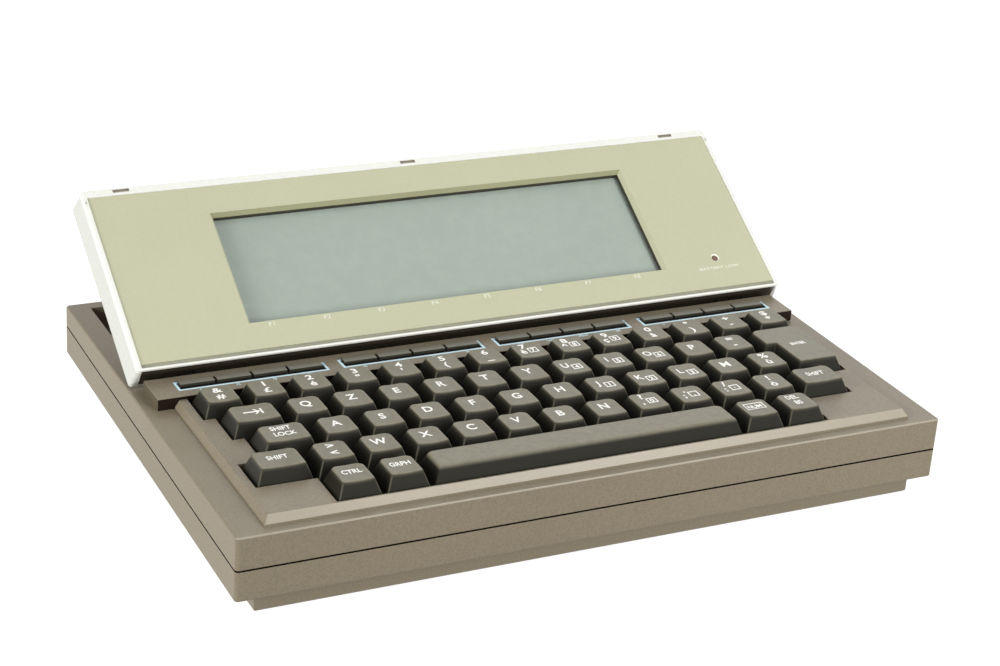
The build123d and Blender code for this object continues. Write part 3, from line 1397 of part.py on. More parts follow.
driver_front = glass_back + glass_frame_back
driver_back = driver_front + driver_thickness
driver_half = unit_half - unit_screw_inset_x - unit_boss_diameter / 2 - driver_screw_gap
with BuildPart() as lcd_board:
    with BuildSketch(face_plane.offset(-driver_back)):
        with Locations((0, window_v)):
            Rectangle(2 * driver_half, glass_height + 2 * (glass_frame_width + driver_margin_v))
    extrude(amount=driver_thickness)
    with BuildSketch(face_plane.offset(-driver_back)):
        with Locations((0, window_v)):
            with GridLocations(driver_chip_pitch, driver_chip_row_pitch, driver_chips_per_row, 2):
                Rectangle(driver_chip_length, driver_chip_width)
    extrude(amount=-driver_chip_height)
lcd_board.part.label = "lcd_board"
export_step(lcd_board.part, "parts/lcd_board.step")

# Low-battery lamp, standing on the driver board; its lens reaches into the hole of the face
with BuildPart() as battery_led:
    with BuildSketch(face_plane.offset(-driver_front)):
        with Locations((lamp_x, lamp_v)):
            Circle(lamp_diameter / 2)
    extrude(amount=driver_front - face_back - fit_gap)
    with BuildSketch(face_plane.offset(-driver_front)):
        with Locations((lamp_x, lamp_v)):
            Circle(lamp_lens_diameter / 2)
    extrude(amount=driver_front - face_recess - lamp_lens_depth)
    chamfer(battery_led.faces().sort_by(face_axis)[-1].edges(), lamp_chamfer)
battery_led.part.label = "battery_led"
export_step(battery_led.part, "parts/battery_led.step")

knuckle_half = lug_width / 2 + lug_gap + knuckle_width


def lug_slots():
    """Sketch, on a cross-section of the unit, of the room that one lug turns in."""
    with Locations((lug_radius + lug_gap - hinge_to_edge, lug_radius + lug_gap - hinge_to_face)):
        Rectangle(hinge_to_face + lug_radius, cover_depth, align=(Align.MAX, Align.MAX))


# Rear cover of the display unit, flared, with its bulge and the seats of the hinge knuckles
with BuildPart() as display_rear_cover:
    with BuildSketch(face_plane.offset(-frame_depth)):
        with Locations((0, unit_middle)):
            RectangleRounded(2 * unit_half, unit_length, cover_corner)
    with BuildSketch(face_plane.offset(-cover_back)):
        with Locations((0, unit_middle)):
            RectangleRounded(2 * (unit_half + cover_flare), unit_length, cover_corner)
    loft(ruled=True)
    with BuildSketch(face_plane.offset(-cover_back)):
        with Locations((0, (bulge_bottom + bulge_top) / 2)):
            Rectangle(2 * bulge_half, bulge_top - bulge_bottom)
    extrude(amount=-bulge_depth)
    chamfer(display_rear_cover.faces().sort_by(face_axis)[0].edges(), bulge_chamfer)
    with BuildSketch(face_plane.offset(cover_wall - cover_back)):
        with Locations((0, unit_middle)):
            Rectangle(2 * (unit_half - cover_wall), unit_length - 2 * cover_wall)
    extrude(amount=cover_depth - cover_wall, mode=Mode.SUBTRACT)
    with BuildSketch(face_plane.offset(cover_wall - cover_back)):
        with Locations((0, (bulge_bottom + bulge_top) / 2)):
            Rectangle(2 * (bulge_half - cover_wall), bulge_top - bulge_bottom - 2 * cover_wall)
    extrude(amount=-bulge_depth, mode=Mode.SUBTRACT)
    # Hooks that show in the snap windows of the rim
    with BuildSketch(face_plane.offset(-frame_depth - merge)):
        with Locations(snap_spots):
            Rectangle(snap_length - 2 * fit_gap, snap_height - 2 * fit_gap)
    extrude(amount=frame_depth + merge - snap_setback)
    # Block with the seats of the two knuckles beside each lug
    seat_front = knuckle_radius + knuckle_seat - hinge_to_face
    for side in (-1, 1):
        with BuildSketch(unit_section(side * lug_x - knuckle_half)):
            with BuildLine():
                Polyline((-rim_bottom, -cover_back), (-rim_bottom, seat_front), (knuckle_radius, seat_front),
                         (knuckle_radius, -cover_back), close=True)
            make_face()
        extrude(amount=2 * knuckle_half)
        with BuildSketch(unit_section(side * lug_x - knuckle_half - fit_gap)):
            with Locations((-hinge_to_edge, -hinge_to_face)):
                Circle(knuckle_radius + fit_gap)
        extrude(amount=2 * (knuckle_half + fit_gap), mode=Mode.SUBTRACT)
        with BuildSketch(unit_section(side * lug_x - lug_width / 2 - lug_gap)):
            lug_slots()
        extrude(amount=lug_width + 2 * lug_gap, mode=Mode.SUBTRACT)
    # Recess that takes the hinge cover
    with BuildSketch(face_plane.offset(-frame_depth)):
        with Locations((0, -rim_bottom)):
            Rectangle(2 * (trim_half + fit_gap), 2 * (trim_thickness + close_gap))
    extrude(amount=frame_depth - trim_back - fit_gap, mode=Mode.SUBTRACT)
    # Holes and head seats of the four screws
    with BuildSketch(face_plane.offset(-cover_back - cut_past)):
        with Locations(unit_screw_spots):
            Circle(screw_diameter / 2 + fit_gap)
    extrude(amount=cover_wall + 2 * cut_past, mode=Mode.SUBTRACT)
    with BuildSketch(face_plane.offset(-cover_back)):
        with Locations(unit_screw_spots):
            Circle(screw_head_diameter / 2 + fit_gap)
    extrude(amount=cover_wall / 2, mode=Mode.SUBTRACT)
display_rear_cover.part.label = "display_rear_cover"
export_step(display_rear_cover.part, "parts/display_rear_cover.step")

with BuildPart() as display_screws:
    with BuildSketch(face_plane.offset(cover_wall / 2 - cover_back)):
        with Locations(unit_screw_spots):
            Circle(screw_head_diameter / 2)
    extrude(amount=screw_head_gap - cover_wall / 2)
    with BuildSketch(face_plane.offset(cover_wall / 2 - cover_back)):
        with Locations(unit_screw_spots):
            Circle(screw_diameter / 2)
    extrude(amount=cover_wall / 2 + screw_bite - screw_end_gap)
display_screws.part.label = "display_screws"
export_step(display_screws.part, "parts/display_screws.step")

# Hinge cover: the dark strip along the unit's lower side, which carries the knuckles of the hinge
with BuildPart() as hinge_cover:
    with BuildSketch(face_plane.offset(-trim_back)):
        with Locations((0, trim_thickness / 2 - rim_bottom)):
            Rectangle(2 * trim_half, trim_thickness)
    extrude(amount=trim_width)
    for side in (-1, 1):
        with BuildSketch(unit_section(side * lug_x - knuckle_half)):
            with Locations((-hinge_to_edge, -hinge_to_face)):
                Circle(knuckle_radius)
        extrude(amount=2 * knuckle_half)
        with BuildSketch(unit_section(side * lug_x - lug_width / 2 - lug_gap)):
            lug_slots()
        extrude(amount=lug_width + 2 * lug_gap, mode=Mode.SUBTRACT)
        with BuildSketch(Plane.YZ.offset(side * lug_x - knuckle_half - cut_past)):
            with Locations((hinge_y, hinge_z)):
                Circle(pin_diameter / 2 + close_gap / 2)
        extrude(amount=2 * (knuckle_half + cut_past), mode=Mode.SUBTRACT)
hinge_cover.part.label = "hinge_cover"
export_step(hinge_cover.part, "parts/hinge_cover.step")

with BuildPart() as hinge_pins:
    for side in (-1, 1):
        with BuildSketch(Plane.YZ.offset(side * lug_x - knuckle_half + pin_end_gap)):
            with Locations((hinge_y, hinge_z)):
                Circle(pin_diameter / 2)
        extrude(amount=2 * (knuckle_half - pin_end_gap))
hinge_pins.part.label = "hinge_pins"
export_step(hinge_pins.part, "parts/hinge_pins.step")
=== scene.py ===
import json
import math
import bmesh
import bpy
from mathutils import Matrix, Vector


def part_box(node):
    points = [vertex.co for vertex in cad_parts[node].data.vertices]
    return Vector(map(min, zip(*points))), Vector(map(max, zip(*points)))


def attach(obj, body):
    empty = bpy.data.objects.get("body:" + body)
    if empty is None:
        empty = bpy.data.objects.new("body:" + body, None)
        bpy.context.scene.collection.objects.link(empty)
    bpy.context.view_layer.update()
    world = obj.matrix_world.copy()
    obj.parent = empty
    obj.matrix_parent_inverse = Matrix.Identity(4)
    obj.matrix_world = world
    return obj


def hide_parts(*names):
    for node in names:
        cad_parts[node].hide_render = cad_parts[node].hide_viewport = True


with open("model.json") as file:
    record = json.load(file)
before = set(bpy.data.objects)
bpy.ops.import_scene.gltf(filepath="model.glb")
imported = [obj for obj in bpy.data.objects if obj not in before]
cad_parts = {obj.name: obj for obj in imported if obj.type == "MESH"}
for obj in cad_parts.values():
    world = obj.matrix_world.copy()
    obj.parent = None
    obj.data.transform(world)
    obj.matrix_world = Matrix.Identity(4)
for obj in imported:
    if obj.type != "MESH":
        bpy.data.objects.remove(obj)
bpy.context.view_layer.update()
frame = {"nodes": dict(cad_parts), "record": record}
scene = bpy.context.scene
mm = 0.001


# Small helpers

def paint(red, green, blue):
    return tuple(((part / 255 + 0.055) / 1.055) ** 2.4 for part in (red, green, blue)) + (1.0,)


def adjusted(item, **settings):
    for key, value in settings.items():
        setattr(item, key, value)
    return item


def feed(tree, node, inputs):
    # plain values are set on a node's inputs, and outputs of other nodes are linked to them
    for key, value in inputs.items():
        if isinstance(value, bpy.types.NodeSocket):
            tree.links.new(value, node.inputs[key])
        else:
            node.inputs[key].default_value = value


def wire(tree, kind, inputs=None, **settings):
    node = adjusted(tree.nodes.new(kind), **settings)
    feed(tree, node, inputs or {})
    return node


def evaluatedMesh(obj):
    bpy.context.view_layer.update()
    graph = bpy.context.evaluated_depsgraph_get()
    return bpy.data.meshes.new_from_object(obj.evaluated_get(graph))


def spareObject(name, data):
    obj = bpy.data.objects.new(name, data)
    scene.collection.objects.link(obj)
    return obj


def settled(mesh, angle, edge=0.0):
    # smooth shading with sharp edges kept, and flat faces shaded flat; edge rounds the corners, in mm
    mesh.polygons.foreach_set("use_smooth", [True] * len(mesh.polygons))
    mesh.set_sharp_from_angle(angle=math.radians(angle))
    obj = spareObject("settling", mesh)
    if edge:
        adjusted(obj.modifiers.new("rounding", "BEVEL"), width=edge * mm, segments=2, limit_method="ANGLE",
                 angle_limit=math.radians(angle), use_clamp_overlap=False, miter_outer="MITER_SHARP",
                 harden_normals=True)
    adjusted(obj.modifiers.new("weigh", "WEIGHTED_NORMAL"), keep_sharp=True, weight=80)
    result = evaluatedMesh(obj)
    bpy.data.objects.remove(obj)
    return result


def addPiece(name, mesh, finish, body, replaces=()):
    mesh.name = name
    mesh.materials.clear()
    mesh.materials.append(finish)
    obj = spareObject(name, mesh)
    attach(obj, body)
    if replaces:
        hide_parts(*replaces)
    return obj


def replacePiece(name, node, mesh):
    # a piece in place of a CAD node, with that node's finish, body and slot
    return addPiece(name, mesh, nodeFinish[node], nodeBody[node], [node])


def meshFrom(work, name):
    mesh = bpy.data.meshes.new(name)
    work.to_mesh(mesh)
    work.free()
    return mesh


def closedMesh(work):
    # a closed shape, with its faces turned outward
    bmesh.ops.recalc_face_normals(work, faces=work.faces)
    return meshFrom(work, "closed")


def camelName(words):
    first, *rest = words.split("_")
    return first + "".join(word.capitalize() for word in rest)


def worked(tree, operation, *inputs):
    return wire(tree, "ShaderNodeMath", dict(enumerate(inputs)), operation=operation).outputs[0]


def ranged(tree, value, *limits):
    # the limits are from low and from high, then to low and to high where they aren't 0 and 1
    return wire(tree, "ShaderNodeMapRange", dict(enumerate((value, *limits)))).outputs["Result"]


def noise(tree, place, scale, detail, rough=0.5):
    inputs = {"Vector": place, "Scale": scale, "Detail": detail, "Roughness": rough}
    return wire(tree, "ShaderNodeTexNoise", inputs).outputs[0]


def objectPlace(tree):
    return wire(tree, "ShaderNodeTexCoord").outputs["Object"]


def seenDirectly(tree):
    # 1 for rays from the camera, off glossy surfaces and through clear ones
    rays = wire(tree, "ShaderNodeLightPath").outputs
    shiny = worked(tree, "MAXIMUM", rays["Is Camera Ray"], rays["Is Glossy Ray"])
    return worked(tree, "MAXIMUM", shiny, rays["Is Transmission Ray"])


# Camera at the photograph's view

photoView = dict(place=(-0.3940, -0.7612, 0.43076), right=(0.898145, -0.434691, 0.066174),
                 up=(0.12367, 0.394159, 0.910683), back=(-0.421949, -0.809742, 0.407771), lens=82.163,
                 sensor=36.0)
viewer = spareObject("viewer", adjusted(bpy.data.cameras.new("viewer"), lens=photoView["lens"],
                                        sensor_width=photoView["sensor"], clip_start=0.01))
turn = Matrix((photoView["right"], photoView["up"], photoView["back"]))
viewer.matrix_world = Matrix.Translation(photoView["place"]) @ turn.transposed().to_4x4()
scene.camera = viewer
scene.view_settings.view_transform = "Standard"

# Studio light: large soft boxes round the table, and a pale world

studio = {"leftBox": dict(place=(-1.32, -0.22, 0.42), size=0.8, watts=20.5),
          "backBox": dict(place=(0.60, 0.80, 0.85), size=0.9, watts=4.5),
          "overBox": dict(place=(0.59, -0.56, 1.12), size=0.4, watts=3.2),
          "frontBox": dict(place=(0.62, -1.33, 0.50), size=0.8, watts=20.5),
          "rearBox": dict(place=(-0.30, 1.35, 0.45), size=1.0, watts=5.0)}
for name, light in studio.items():
    lamp = adjusted(bpy.data.lights.new(name, "AREA"), size=light["size"], energy=light["watts"])
    aim = Vector((0, 0, 0.04)) - Vector(light["place"])
    adjusted(spareObject(name, lamp), visible_glossy=name in ("backBox", "overBox"), location=light["place"],
             rotation_euler=aim.to_track_quat("-Z", "Y").to_euler())

surround = dict(soft=0.14, white=1.0)
scene.world = adjusted(bpy.data.worlds.new("surround"), use_nodes=True)
tree = scene.world.node_tree
tree.nodes.clear()
soft, bright = [wire(tree, "ShaderNodeBackground", {"Color": (1, 1, 1, 1), "Strength": strength}).outputs[0]
                for strength in (surround["soft"], surround["white"])]
both = wire(tree, "ShaderNodeMixShader", {0: seenDirectly(tree), 1: soft, 2: bright})
wire(tree, "ShaderNodeOutputWorld", {"Surface": both.outputs[0]})

floorLook = dict(half=3.0, white=0.27, lift=0.91, fibre=0.01)
half, white, fibre = [floorLook[key] for key in ("half", "white", "fibre")]
floorMesh = bpy.data.meshes.new("floor")
floorMesh.from_pydata([(-half, -half, 0), (half, -half, 0), (half, half, 0), (-half, half, 0)], [],
                      [(0, 1, 2, 3)])
paper = adjusted(bpy.data.materials.new("paper"), use_nodes=True)
tree = paper.node_tree
tree.nodes.clear()
tooth = ranged(tree, noise(tree, objectPlace(tree), 300.0, 4.0), 0.0, 1.0, white - fibre, white + fibre)
matt = wire(tree, "ShaderNodeBsdfDiffuse", {"Color": tooth}).outputs[0]
glow = wire(tree, "ShaderNodeEmission", {"Color": (1, 1, 1, 1), "Strength": floorLook["lift"]}).outputs[0]
lit = wire(tree, "ShaderNodeAddShader", {0: matt, 1: glow}).outputs[0]
pick = wire(tree, "ShaderNodeMixShader", {0: seenDirectly(tree), 1: matt, 2: lit}).outputs[0]
wire(tree, "ShaderNodeOutputMaterial", {"Surface": pick})
floorMesh.materials.append(paper)
spareObject("floor", floorMesh)
print("camera, light and floor made")


# Shared effects, one node group each

def openGroup(name, inputs):
    tree = bpy.data.node_groups.new(name, "ShaderNodeTree")
    for label, value in inputs.items():
        kind = "NodeSocketColor" if isinstance(value, tuple) else "NodeSocketFloat"
        tree.interface.new_socket(label, in_out="INPUT", socket_type=kind).default_value = value
    return tree, wire(tree, "NodeGroupInput").outputs, objectPlace(tree)


def closeGroup(tree, outputs):
    for label in outputs:
        kind = "NodeSocketColor" if label == "Colour" else "NodeSocketFloat"
        tree.interface.new_socket(label, in_out="OUTPUT", socket_type=kind)
    wire(tree, "NodeGroupOutput", outputs)


def perMillimetre(tree, size):
    return worked(tree, "DIVIDE", 1000.0, size)


def blended(tree, share, first, second):
    return wire(tree, "ShaderNodeMix", {0: share, 6: first, 7: second}, data_type="RGBA").outputs[2]


def multiplied(tree, first, second):
    return worked(tree, "MULTIPLY", first, second)


def unevenGloss(tree, pattern, given):
    uneven = worked(tree, "SUBTRACT", pattern, 0.5)
    return worked(tree, "MULTIPLY_ADD", uneven, given["Roughness Drift"], given["Roughness"])


# fine specks, slow drift of tone and the tooth of a moulded surface
tree, given, place = openGroup("moulded grain", {
    "Colour": (0.5, 0.5, 0.5, 1), "Speck Colour": (0.3, 0.3, 0.3, 1), "Speck Share": 0.3, "Speck Size": 0.8,
    "Drift": 0.05, "Drift Size": 60.0, "Roughness": 0.5, "Roughness Drift": 0.1})
mouldedGrain = tree
specks = noise(tree, place, perMillimetre(tree, given["Speck Size"]), 3.0, 0.7)
mask = multiplied(tree, ranged(tree, specks, 0.42, 0.68), given["Speck Share"])
speckled = blended(tree, mask, given["Colour"], given["Speck Colour"])
cloud = noise(tree, place, perMillimetre(tree, given["Drift Size"]), 2.0)
tone = worked(tree, "MULTIPLY_ADD", ranged(tree, cloud, 0.3, 0.7, -1.0, 1.0), given["Drift"], 1.0)
drifted = wire(tree, "ShaderNodeHueSaturation", {"Value": tone, "Color": speckled}).outputs[0]
closeGroup(tree, {"Colour": drifted, "Roughness": unevenGloss(tree, specks, given), "Height": specks})

# fine dust on what faces up
tree, given, place = openGroup("settled dust", {
    "Colour": (0.5, 0.5, 0.5, 1), "Dust Colour": (0.6, 0.58, 0.52, 1), "Amount": 0.1, "Patch Size": 20.0})
settledDust = tree
normal = wire(tree, "ShaderNodeNewGeometry").outputs["Normal"]
upward = ranged(tree, wire(tree, "ShaderNodeSeparateXYZ", {0: normal}).outputs["Z"], 0.4, 1.0)
patchy = ranged(tree, noise(tree, place, perMillimetre(tree, given["Patch Size"]), 5.0, 0.7), 0.4, 0.75)
dusty = multiplied(tree, multiplied(tree, upward, patchy), given["Amount"])
closeGroup(tree, {"Colour": blended(tree, dusty, given["Colour"], given["Dust Colour"])})

# painted sheen and highlight: marked tops and edges painted paler, in patches, where a piece carries the
# marking attribute
tree, given, place = openGroup("rubbed edge", {
    "Colour": (0.5, 0.5, 0.5, 1), "Rubbed Colour": (0.6, 0.6, 0.6, 1), "Amount": 0.5})
paintedSheen = tree
marked = wire(tree, "ShaderNodeAttribute", attribute_name="rub").outputs["Fac"]
patchy = ranged(tree, noise(tree, place, 400.0, 3.0), 0.3, 0.6, 0.82)
sheenMask = multiplied(tree, multiplied(tree, marked, patchy), given["Amount"])
closeGroup(tree, {"Colour": blended(tree, sheenMask, given["Colour"], given["Rubbed Colour"])})

# drawn or rolled metal
tree, given, place = openGroup("rolled metal", {
    "Colour": (0.6, 0.6, 0.6, 1), "Line Colour": (0.4, 0.4, 0.4, 1), "Line Size": 0.4, "Stretch": 0.04,
    "Roughness": 0.3, "Roughness Drift": 0.2})
rolledMetal = tree
stretch = wire(tree, "ShaderNodeCombineXYZ", {"X": given["Stretch"], "Y": 1.0, "Z": 1.0}).outputs[0]
drawn = wire(tree, "ShaderNodeVectorMath", {0: place, 1: stretch}, operation="MULTIPLY").outputs[0]
lines = noise(tree, drawn, perMillimetre(tree, given["Line Size"]), 3.0)
lined = blended(tree, ranged(tree, lines, 0.35, 0.7), given["Colour"], given["Line Colour"])
closeGroup(tree, {"Colour": lined, "Roughness": unevenGloss(tree, lines, given), "Height": lines})

# copper runs and tinned pads under a board's lacquer
tree, given, place = openGroup("board traces", {
    "Colour": (0.05, 0.2, 0.08, 1), "Trace Colour": (0.1, 0.3, 0.12, 1), "Pad Colour": (0.6, 0.6, 0.55, 1),
    "Trace Size": 5.0})
boardTraces = tree
spread = {"Vector": place, "Scale": perMillimetre(tree, given["Trace Size"])}
cells = wire(tree, "ShaderNodeTexVoronoi", spread, feature="DISTANCE_TO_EDGE").outputs["Distance"]
dots = wire(tree, "ShaderNodeTexVoronoi", {**spread, "Randomness": 0.35}, feature="F1").outputs["Distance"]
runs = ranged(tree, cells, 0.05, 0.08, 1.0, 0.0)
pads = ranged(tree, dots, 0.1, 0.13, 1.0, 0.0)
traced = blended(tree, runs, given["Colour"], given["Trace Colour"])
closeGroup(tree, {"Colour": blended(tree, pads, traced, given["Pad Colour"]),
                  "Height": worked(tree, "MAXIMUM", runs, pads)})


# Finishes

finishes = {}


def startFinish(name):
    finishes[name] = adjusted(bpy.data.materials.new(name), use_nodes=True)
    tree = finishes[name].node_tree
    return tree, tree.nodes["Principled BSDF"]


def placeGroup(tree, group, inputs):
    return wire(tree, "ShaderNodeGroup", inputs, node_tree=group).outputs


def bumped(tree, height, depth, corner=0.0):
    inputs = {"Strength": 1.0, "Distance": depth * mm, "Height": height}
    if corner:
        inputs["Normal"] = wire(tree, "ShaderNodeBevel", {"Radius": corner * mm}, samples=4).outputs[0]
    return wire(tree, "ShaderNodeBump", inputs).outputs[0]


def dress(tree, shader, effect, depth, corner=0.0, others=None):
    feed(tree, shader, {"Base Color": effect["Colour"], "Roughness": effect["Roughness"],
                        "Normal": bumped(tree, effect["Height"], depth, corner), **(others or {})})


# what a plastic has where its own look says nothing else; sizes in mm
plainLook = dict(share=0.4, size=0.5, rough=0.5, roughDrift=0.15, drift=0.05, driftSize=60.0, tooth=0.02,
                 corner=0.0, specular=0.5, coat=0.0, patch=20.0)


def plasticFinish(name, look):
    look = {**plainLook, **look}
    tree, shader = startFinish(name)
    grain = placeGroup(tree, mouldedGrain, {
        "Colour": paint(*look["tone"]), "Speck Colour": paint(*look["speck"]), "Speck Share": look["share"],
        "Speck Size": look["size"], "Drift": look["drift"], "Drift Size": look["driftSize"],
        "Roughness": look["rough"], "Roughness Drift": look["roughDrift"]})
    colour = grain["Colour"]
    # painted sheen: the marked tops and edges of the keys painted paler
    if "rub" in look:
        colour = placeGroup(tree, paintedSheen, {"Colour": colour, "Rubbed Colour": paint(*look["rub"]),
                                               "Amount": look["rubShare"]})["Colour"]
    if "dust" in look:
        colour = placeGroup(tree, settledDust, {"Colour": colour, "Dust Colour": paint(*look["dust"]),
                                                "Amount": look["dustShare"],
                                                "Patch Size": look["patch"]})["Colour"]
    dress(tree, shader, grain, look["tooth"], look["corner"],
          {"Base Color": colour, "Specular IOR Level": look["specular"], "Coat Weight": look["coat"]})


def metalFinish(name, look):
    look = {"stretch": 0.04, "corner": 0.0, **look}
    tree, shader = startFinish(name)
    rolled = placeGroup(tree, rolledMetal, {
        "Colour": paint(*look["tone"]), "Line Colour": paint(*look["line"]), "Line Size": 0.4,
        "Stretch": look["stretch"], "Roughness": look["rough"], "Roughness Drift": 0.2})
    dress(tree, shader, rolled, 0.01, look["corner"], {"Metallic": 1.0})


plasticLooks = {
    "casePlastic": dict(tone=(132, 122, 103), speck=(108, 99, 82), share=0.6, size=0.75, rough=0.42,
        drift=0.03, driftSize=90.0, tooth=0.03, corner=0.35, specular=0.27, dust=(168, 162, 148),
        dustShare=0.12, patch=30.0),
    "coverPlastic": dict(tone=(131, 121, 103), speck=(110, 101, 85), share=0.6, size=0.75, rough=0.44,
        tooth=0.03, corner=0.2),
    "rimPlastic": dict(tone=(228, 229, 223), speck=(222, 221, 207), share=0.5, size=1.5, rough=0.38,
        drift=0.012, tooth=0.004, corner=0.25),
    "displayCoverPlastic": dict(tone=(203, 204, 196), speck=(194, 195, 186), share=0.5, size=1.2, rough=0.45,
        drift=0.012, tooth=0.008, corner=0.25),
    "facePlastic": dict(tone=(184, 185, 156), speck=(175, 176, 146), size=1.0, drift=0.012, driftSize=40.0,
        tooth=0.008, dust=(170, 165, 130), dustShare=0.12, patch=9.0),
    "keyPlastic": dict(tone=(29, 28, 21), speck=(22, 21, 15), share=0.5, size=0.6, rough=0.4,
        roughDrift=0.12, drift=0.03, driftSize=30.0, tooth=0.012, specular=0.28, rub=(134, 129, 108),
        rubShare=0.9, dust=(140, 134, 116), dustShare=0.08, patch=6.0),
    "barKeyPlastic": dict(tone=(60, 60, 52), speck=(50, 50, 43), share=0.5, size=0.6, rough=0.42,
        tooth=0.015, specular=0.3),
    "barKeyTop": dict(tone=(102, 98, 84), speck=(90, 87, 74), share=0.5, size=0.6, rough=0.42, tooth=0.015),
    "barFront": dict(tone=(28, 20, 15), speck=(20, 14, 10), size=0.7, tooth=0.004, specular=0.2),
    "shadedPlastic": dict(tone=(84, 76, 60), speck=(72, 64, 50), share=0.5, size=0.75, rough=0.55,
        specular=0.25),
    "controlPlastic": dict(tone=(66, 62, 56), speck=(52, 49, 44), tooth=0.015, corner=0.15),
    "switchPlastic": dict(tone=(46, 46, 48), speck=(36, 36, 38), rough=0.45, tooth=0.01),
    "chipPlastic": dict(tone=(40, 40, 42), speck=(56, 56, 58), size=0.3, rough=0.55, tooth=0.01,
        corner=0.15),
    "portPlastic": dict(tone=(38, 38, 40), speck=(28, 28, 30), rough=0.4, tooth=0.008, corner=0.15),
    "footRubber": dict(tone=(52, 51, 50), speck=(38, 37, 36), share=0.5, size=0.7, rough=0.85, tooth=0.04,
        corner=0.3, dust=(110, 106, 98), dustShare=0.3, patch=4.0),
    "trimPlastic": dict(tone=(36, 32, 25), speck=(28, 24, 19), size=0.7, rough=0.22, roughDrift=0.1,
        drift=0.03, driftSize=25.0, tooth=0.003, corner=0.12, coat=0.4),
    "framePaint": dict(tone=(60, 58, 48), speck=(50, 48, 40), rough=0.7, tooth=0.006),
    "lampLens": dict(tone=(112, 74, 62), speck=(88, 52, 44), share=0.5, size=0.8, rough=0.2, tooth=0.002,
        coat=0.6),
    "legendInk": dict(tone=(250, 249, 244), speck=(236, 234, 226), drift=0.02, driftSize=8.0, tooth=0.004),
    "blueInk": dict(tone=(206, 234, 244), speck=(190, 220, 232), size=0.6, drift=0.02, driftSize=10.0,
        tooth=0.004),
    "whiteInk": dict(tone=(240, 242, 228), speck=(224, 226, 208), drift=0.02, driftSize=8.0, tooth=0.004),
    "gapLiner": dict(tone=(20, 17, 15), speck=(13, 11, 9), share=0.5, size=0.6, rough=0.85, tooth=0.01,
        specular=0.08),
    "softInk": dict(tone=(224, 226, 212), speck=(212, 214, 198), tooth=0.004),
    "windowShade": dict(tone=(164, 155, 140), speck=(142, 134, 120), share=0.5, size=0.6, rough=0.6,
        tooth=0.008, specular=0.2),
    "wallPlastic": dict(tone=(150, 150, 118), speck=(140, 140, 108), size=1.0, rough=0.55, tooth=0.008),
    "polishedPlastic": dict(tone=(158, 149, 132), speck=(144, 136, 119), share=0.5, size=0.75, rough=0.26),
    "grooveFilm": dict(tone=(146, 146, 128), speck=(126, 126, 108), share=0.6, size=0.9, rough=0.6,
        driftSize=25.0, tooth=0.008),
}
metalLooks = {
    "brightMetal": dict(tone=(200, 200, 196), line=(176, 176, 172), rough=0.28),
    "screwSteel": dict(tone=(176, 175, 170), line=(140, 139, 134), rough=0.34, stretch=0.6, corner=0.1),
    "plateSteel": dict(tone=(126, 127, 130), line=(100, 101, 104), rough=0.42),
    "portMetal": dict(tone=(184, 184, 178), line=(156, 156, 150), rough=0.3, corner=0.15),
    "brassPin": dict(tone=(206, 184, 120), line=(176, 152, 92), rough=0.3, stretch=0.6),
    "blackedSteel": dict(tone=(58, 54, 50), line=(44, 41, 38), rough=0.5, stretch=0.6),
}
for name, look in plasticLooks.items():
    plasticFinish(name, look)
for name, look in metalLooks.items():
    metalFinish(name, look)

# circuit boards
boardLook = dict(lacquer=(34, 92, 52), trace=(52, 122, 66), pad=(190, 188, 170), size=4.5, rough=0.4)
tree, shader = startFinish("circuitBoard")
traces = placeGroup(tree, boardTraces, {
    "Colour": paint(*boardLook["lacquer"]), "Trace Colour": paint(*boardLook["trace"]),
    "Pad Colour": paint(*boardLook["pad"]), "Trace Size": boardLook["size"]})
feed(tree, shader, {"Base Color": traces["Colour"], "Roughness": boardLook["rough"],
                    "Normal": bumped(tree, traces["Height"], 0.04)})

# cells: a printed jacket between bare metal ends, along X
cellLook = dict(ends=(-133.5, -83.5), jacket=(58, 54, 50), band=(176, 128, 62), bare=(190, 190, 186),
                speck=(40, 38, 36),
                stops=[(0.0, "bare"), (0.03, "band"), (0.26, "jacket"), (0.30, "band"), (0.32, "jacket"),
                       (0.965, "bare")])
tree, shader = startFinish("cellJacket")
along = wire(tree, "ShaderNodeSeparateXYZ", {0: objectPlace(tree)}).outputs["X"]
ramp = wire(tree, "ShaderNodeValToRGB", {0: ranged(tree, along, *[end * mm for end in cellLook["ends"]])})
ramp.color_ramp.interpolation = "CONSTANT"
stops = ramp.color_ramp.elements
for n, (at, part) in enumerate(cellLook["stops"]):
    adjusted(stops[0] if n == 0 else stops.new(at), position=at, color=paint(*cellLook[part]))
stops[-1].color = paint(*cellLook["bare"])
grain = placeGroup(tree, mouldedGrain, {
    "Colour": ramp.outputs[0], "Speck Colour": paint(*cellLook["speck"]), "Speck Share": 0.12,
    "Speck Size": 0.5, "Drift": 0.02, "Roughness": 0.32, "Roughness Drift": 0.1})
dress(tree, shader, grain, 0.01)

# liquid-crystal glass: grey-green polariser over a faint grid of dots, tilted with the face
display = dict(tilt=31.0, origin=(16.18, 47.02), windowHalf=97.0, windowLow=13.0, windowHigh=69.6, slope=3.0,
               steep=1.3, surroundBack=-2.4, glassFront=-3.6, glassSunk=-4.8, groove=(-1.9, -0.7),
               lamp=(122.8, 15.9, 2.0))
crystalLook = dict(tone=(155, 166, 155), dot=(145, 156, 146), haze=(162, 173, 162), pitch=0.8, line=0.12,
                   share=0.5, rough=0.3)
tree, shader = startFinish("crystalGlass")
start = (0.0, *[-v * mm for v in display["origin"]])
moved = wire(tree, "ShaderNodeVectorMath", {0: objectPlace(tree), 1: start}, operation="ADD").outputs[0]
lean = (-math.radians(display["tilt"]), 0.0, 0.0)
flat = wire(tree, "ShaderNodeMapping", {"Vector": moved, "Rotation": lean}).outputs[0]
axes = wire(tree, "ShaderNodeSeparateXYZ", {0: flat}).outputs
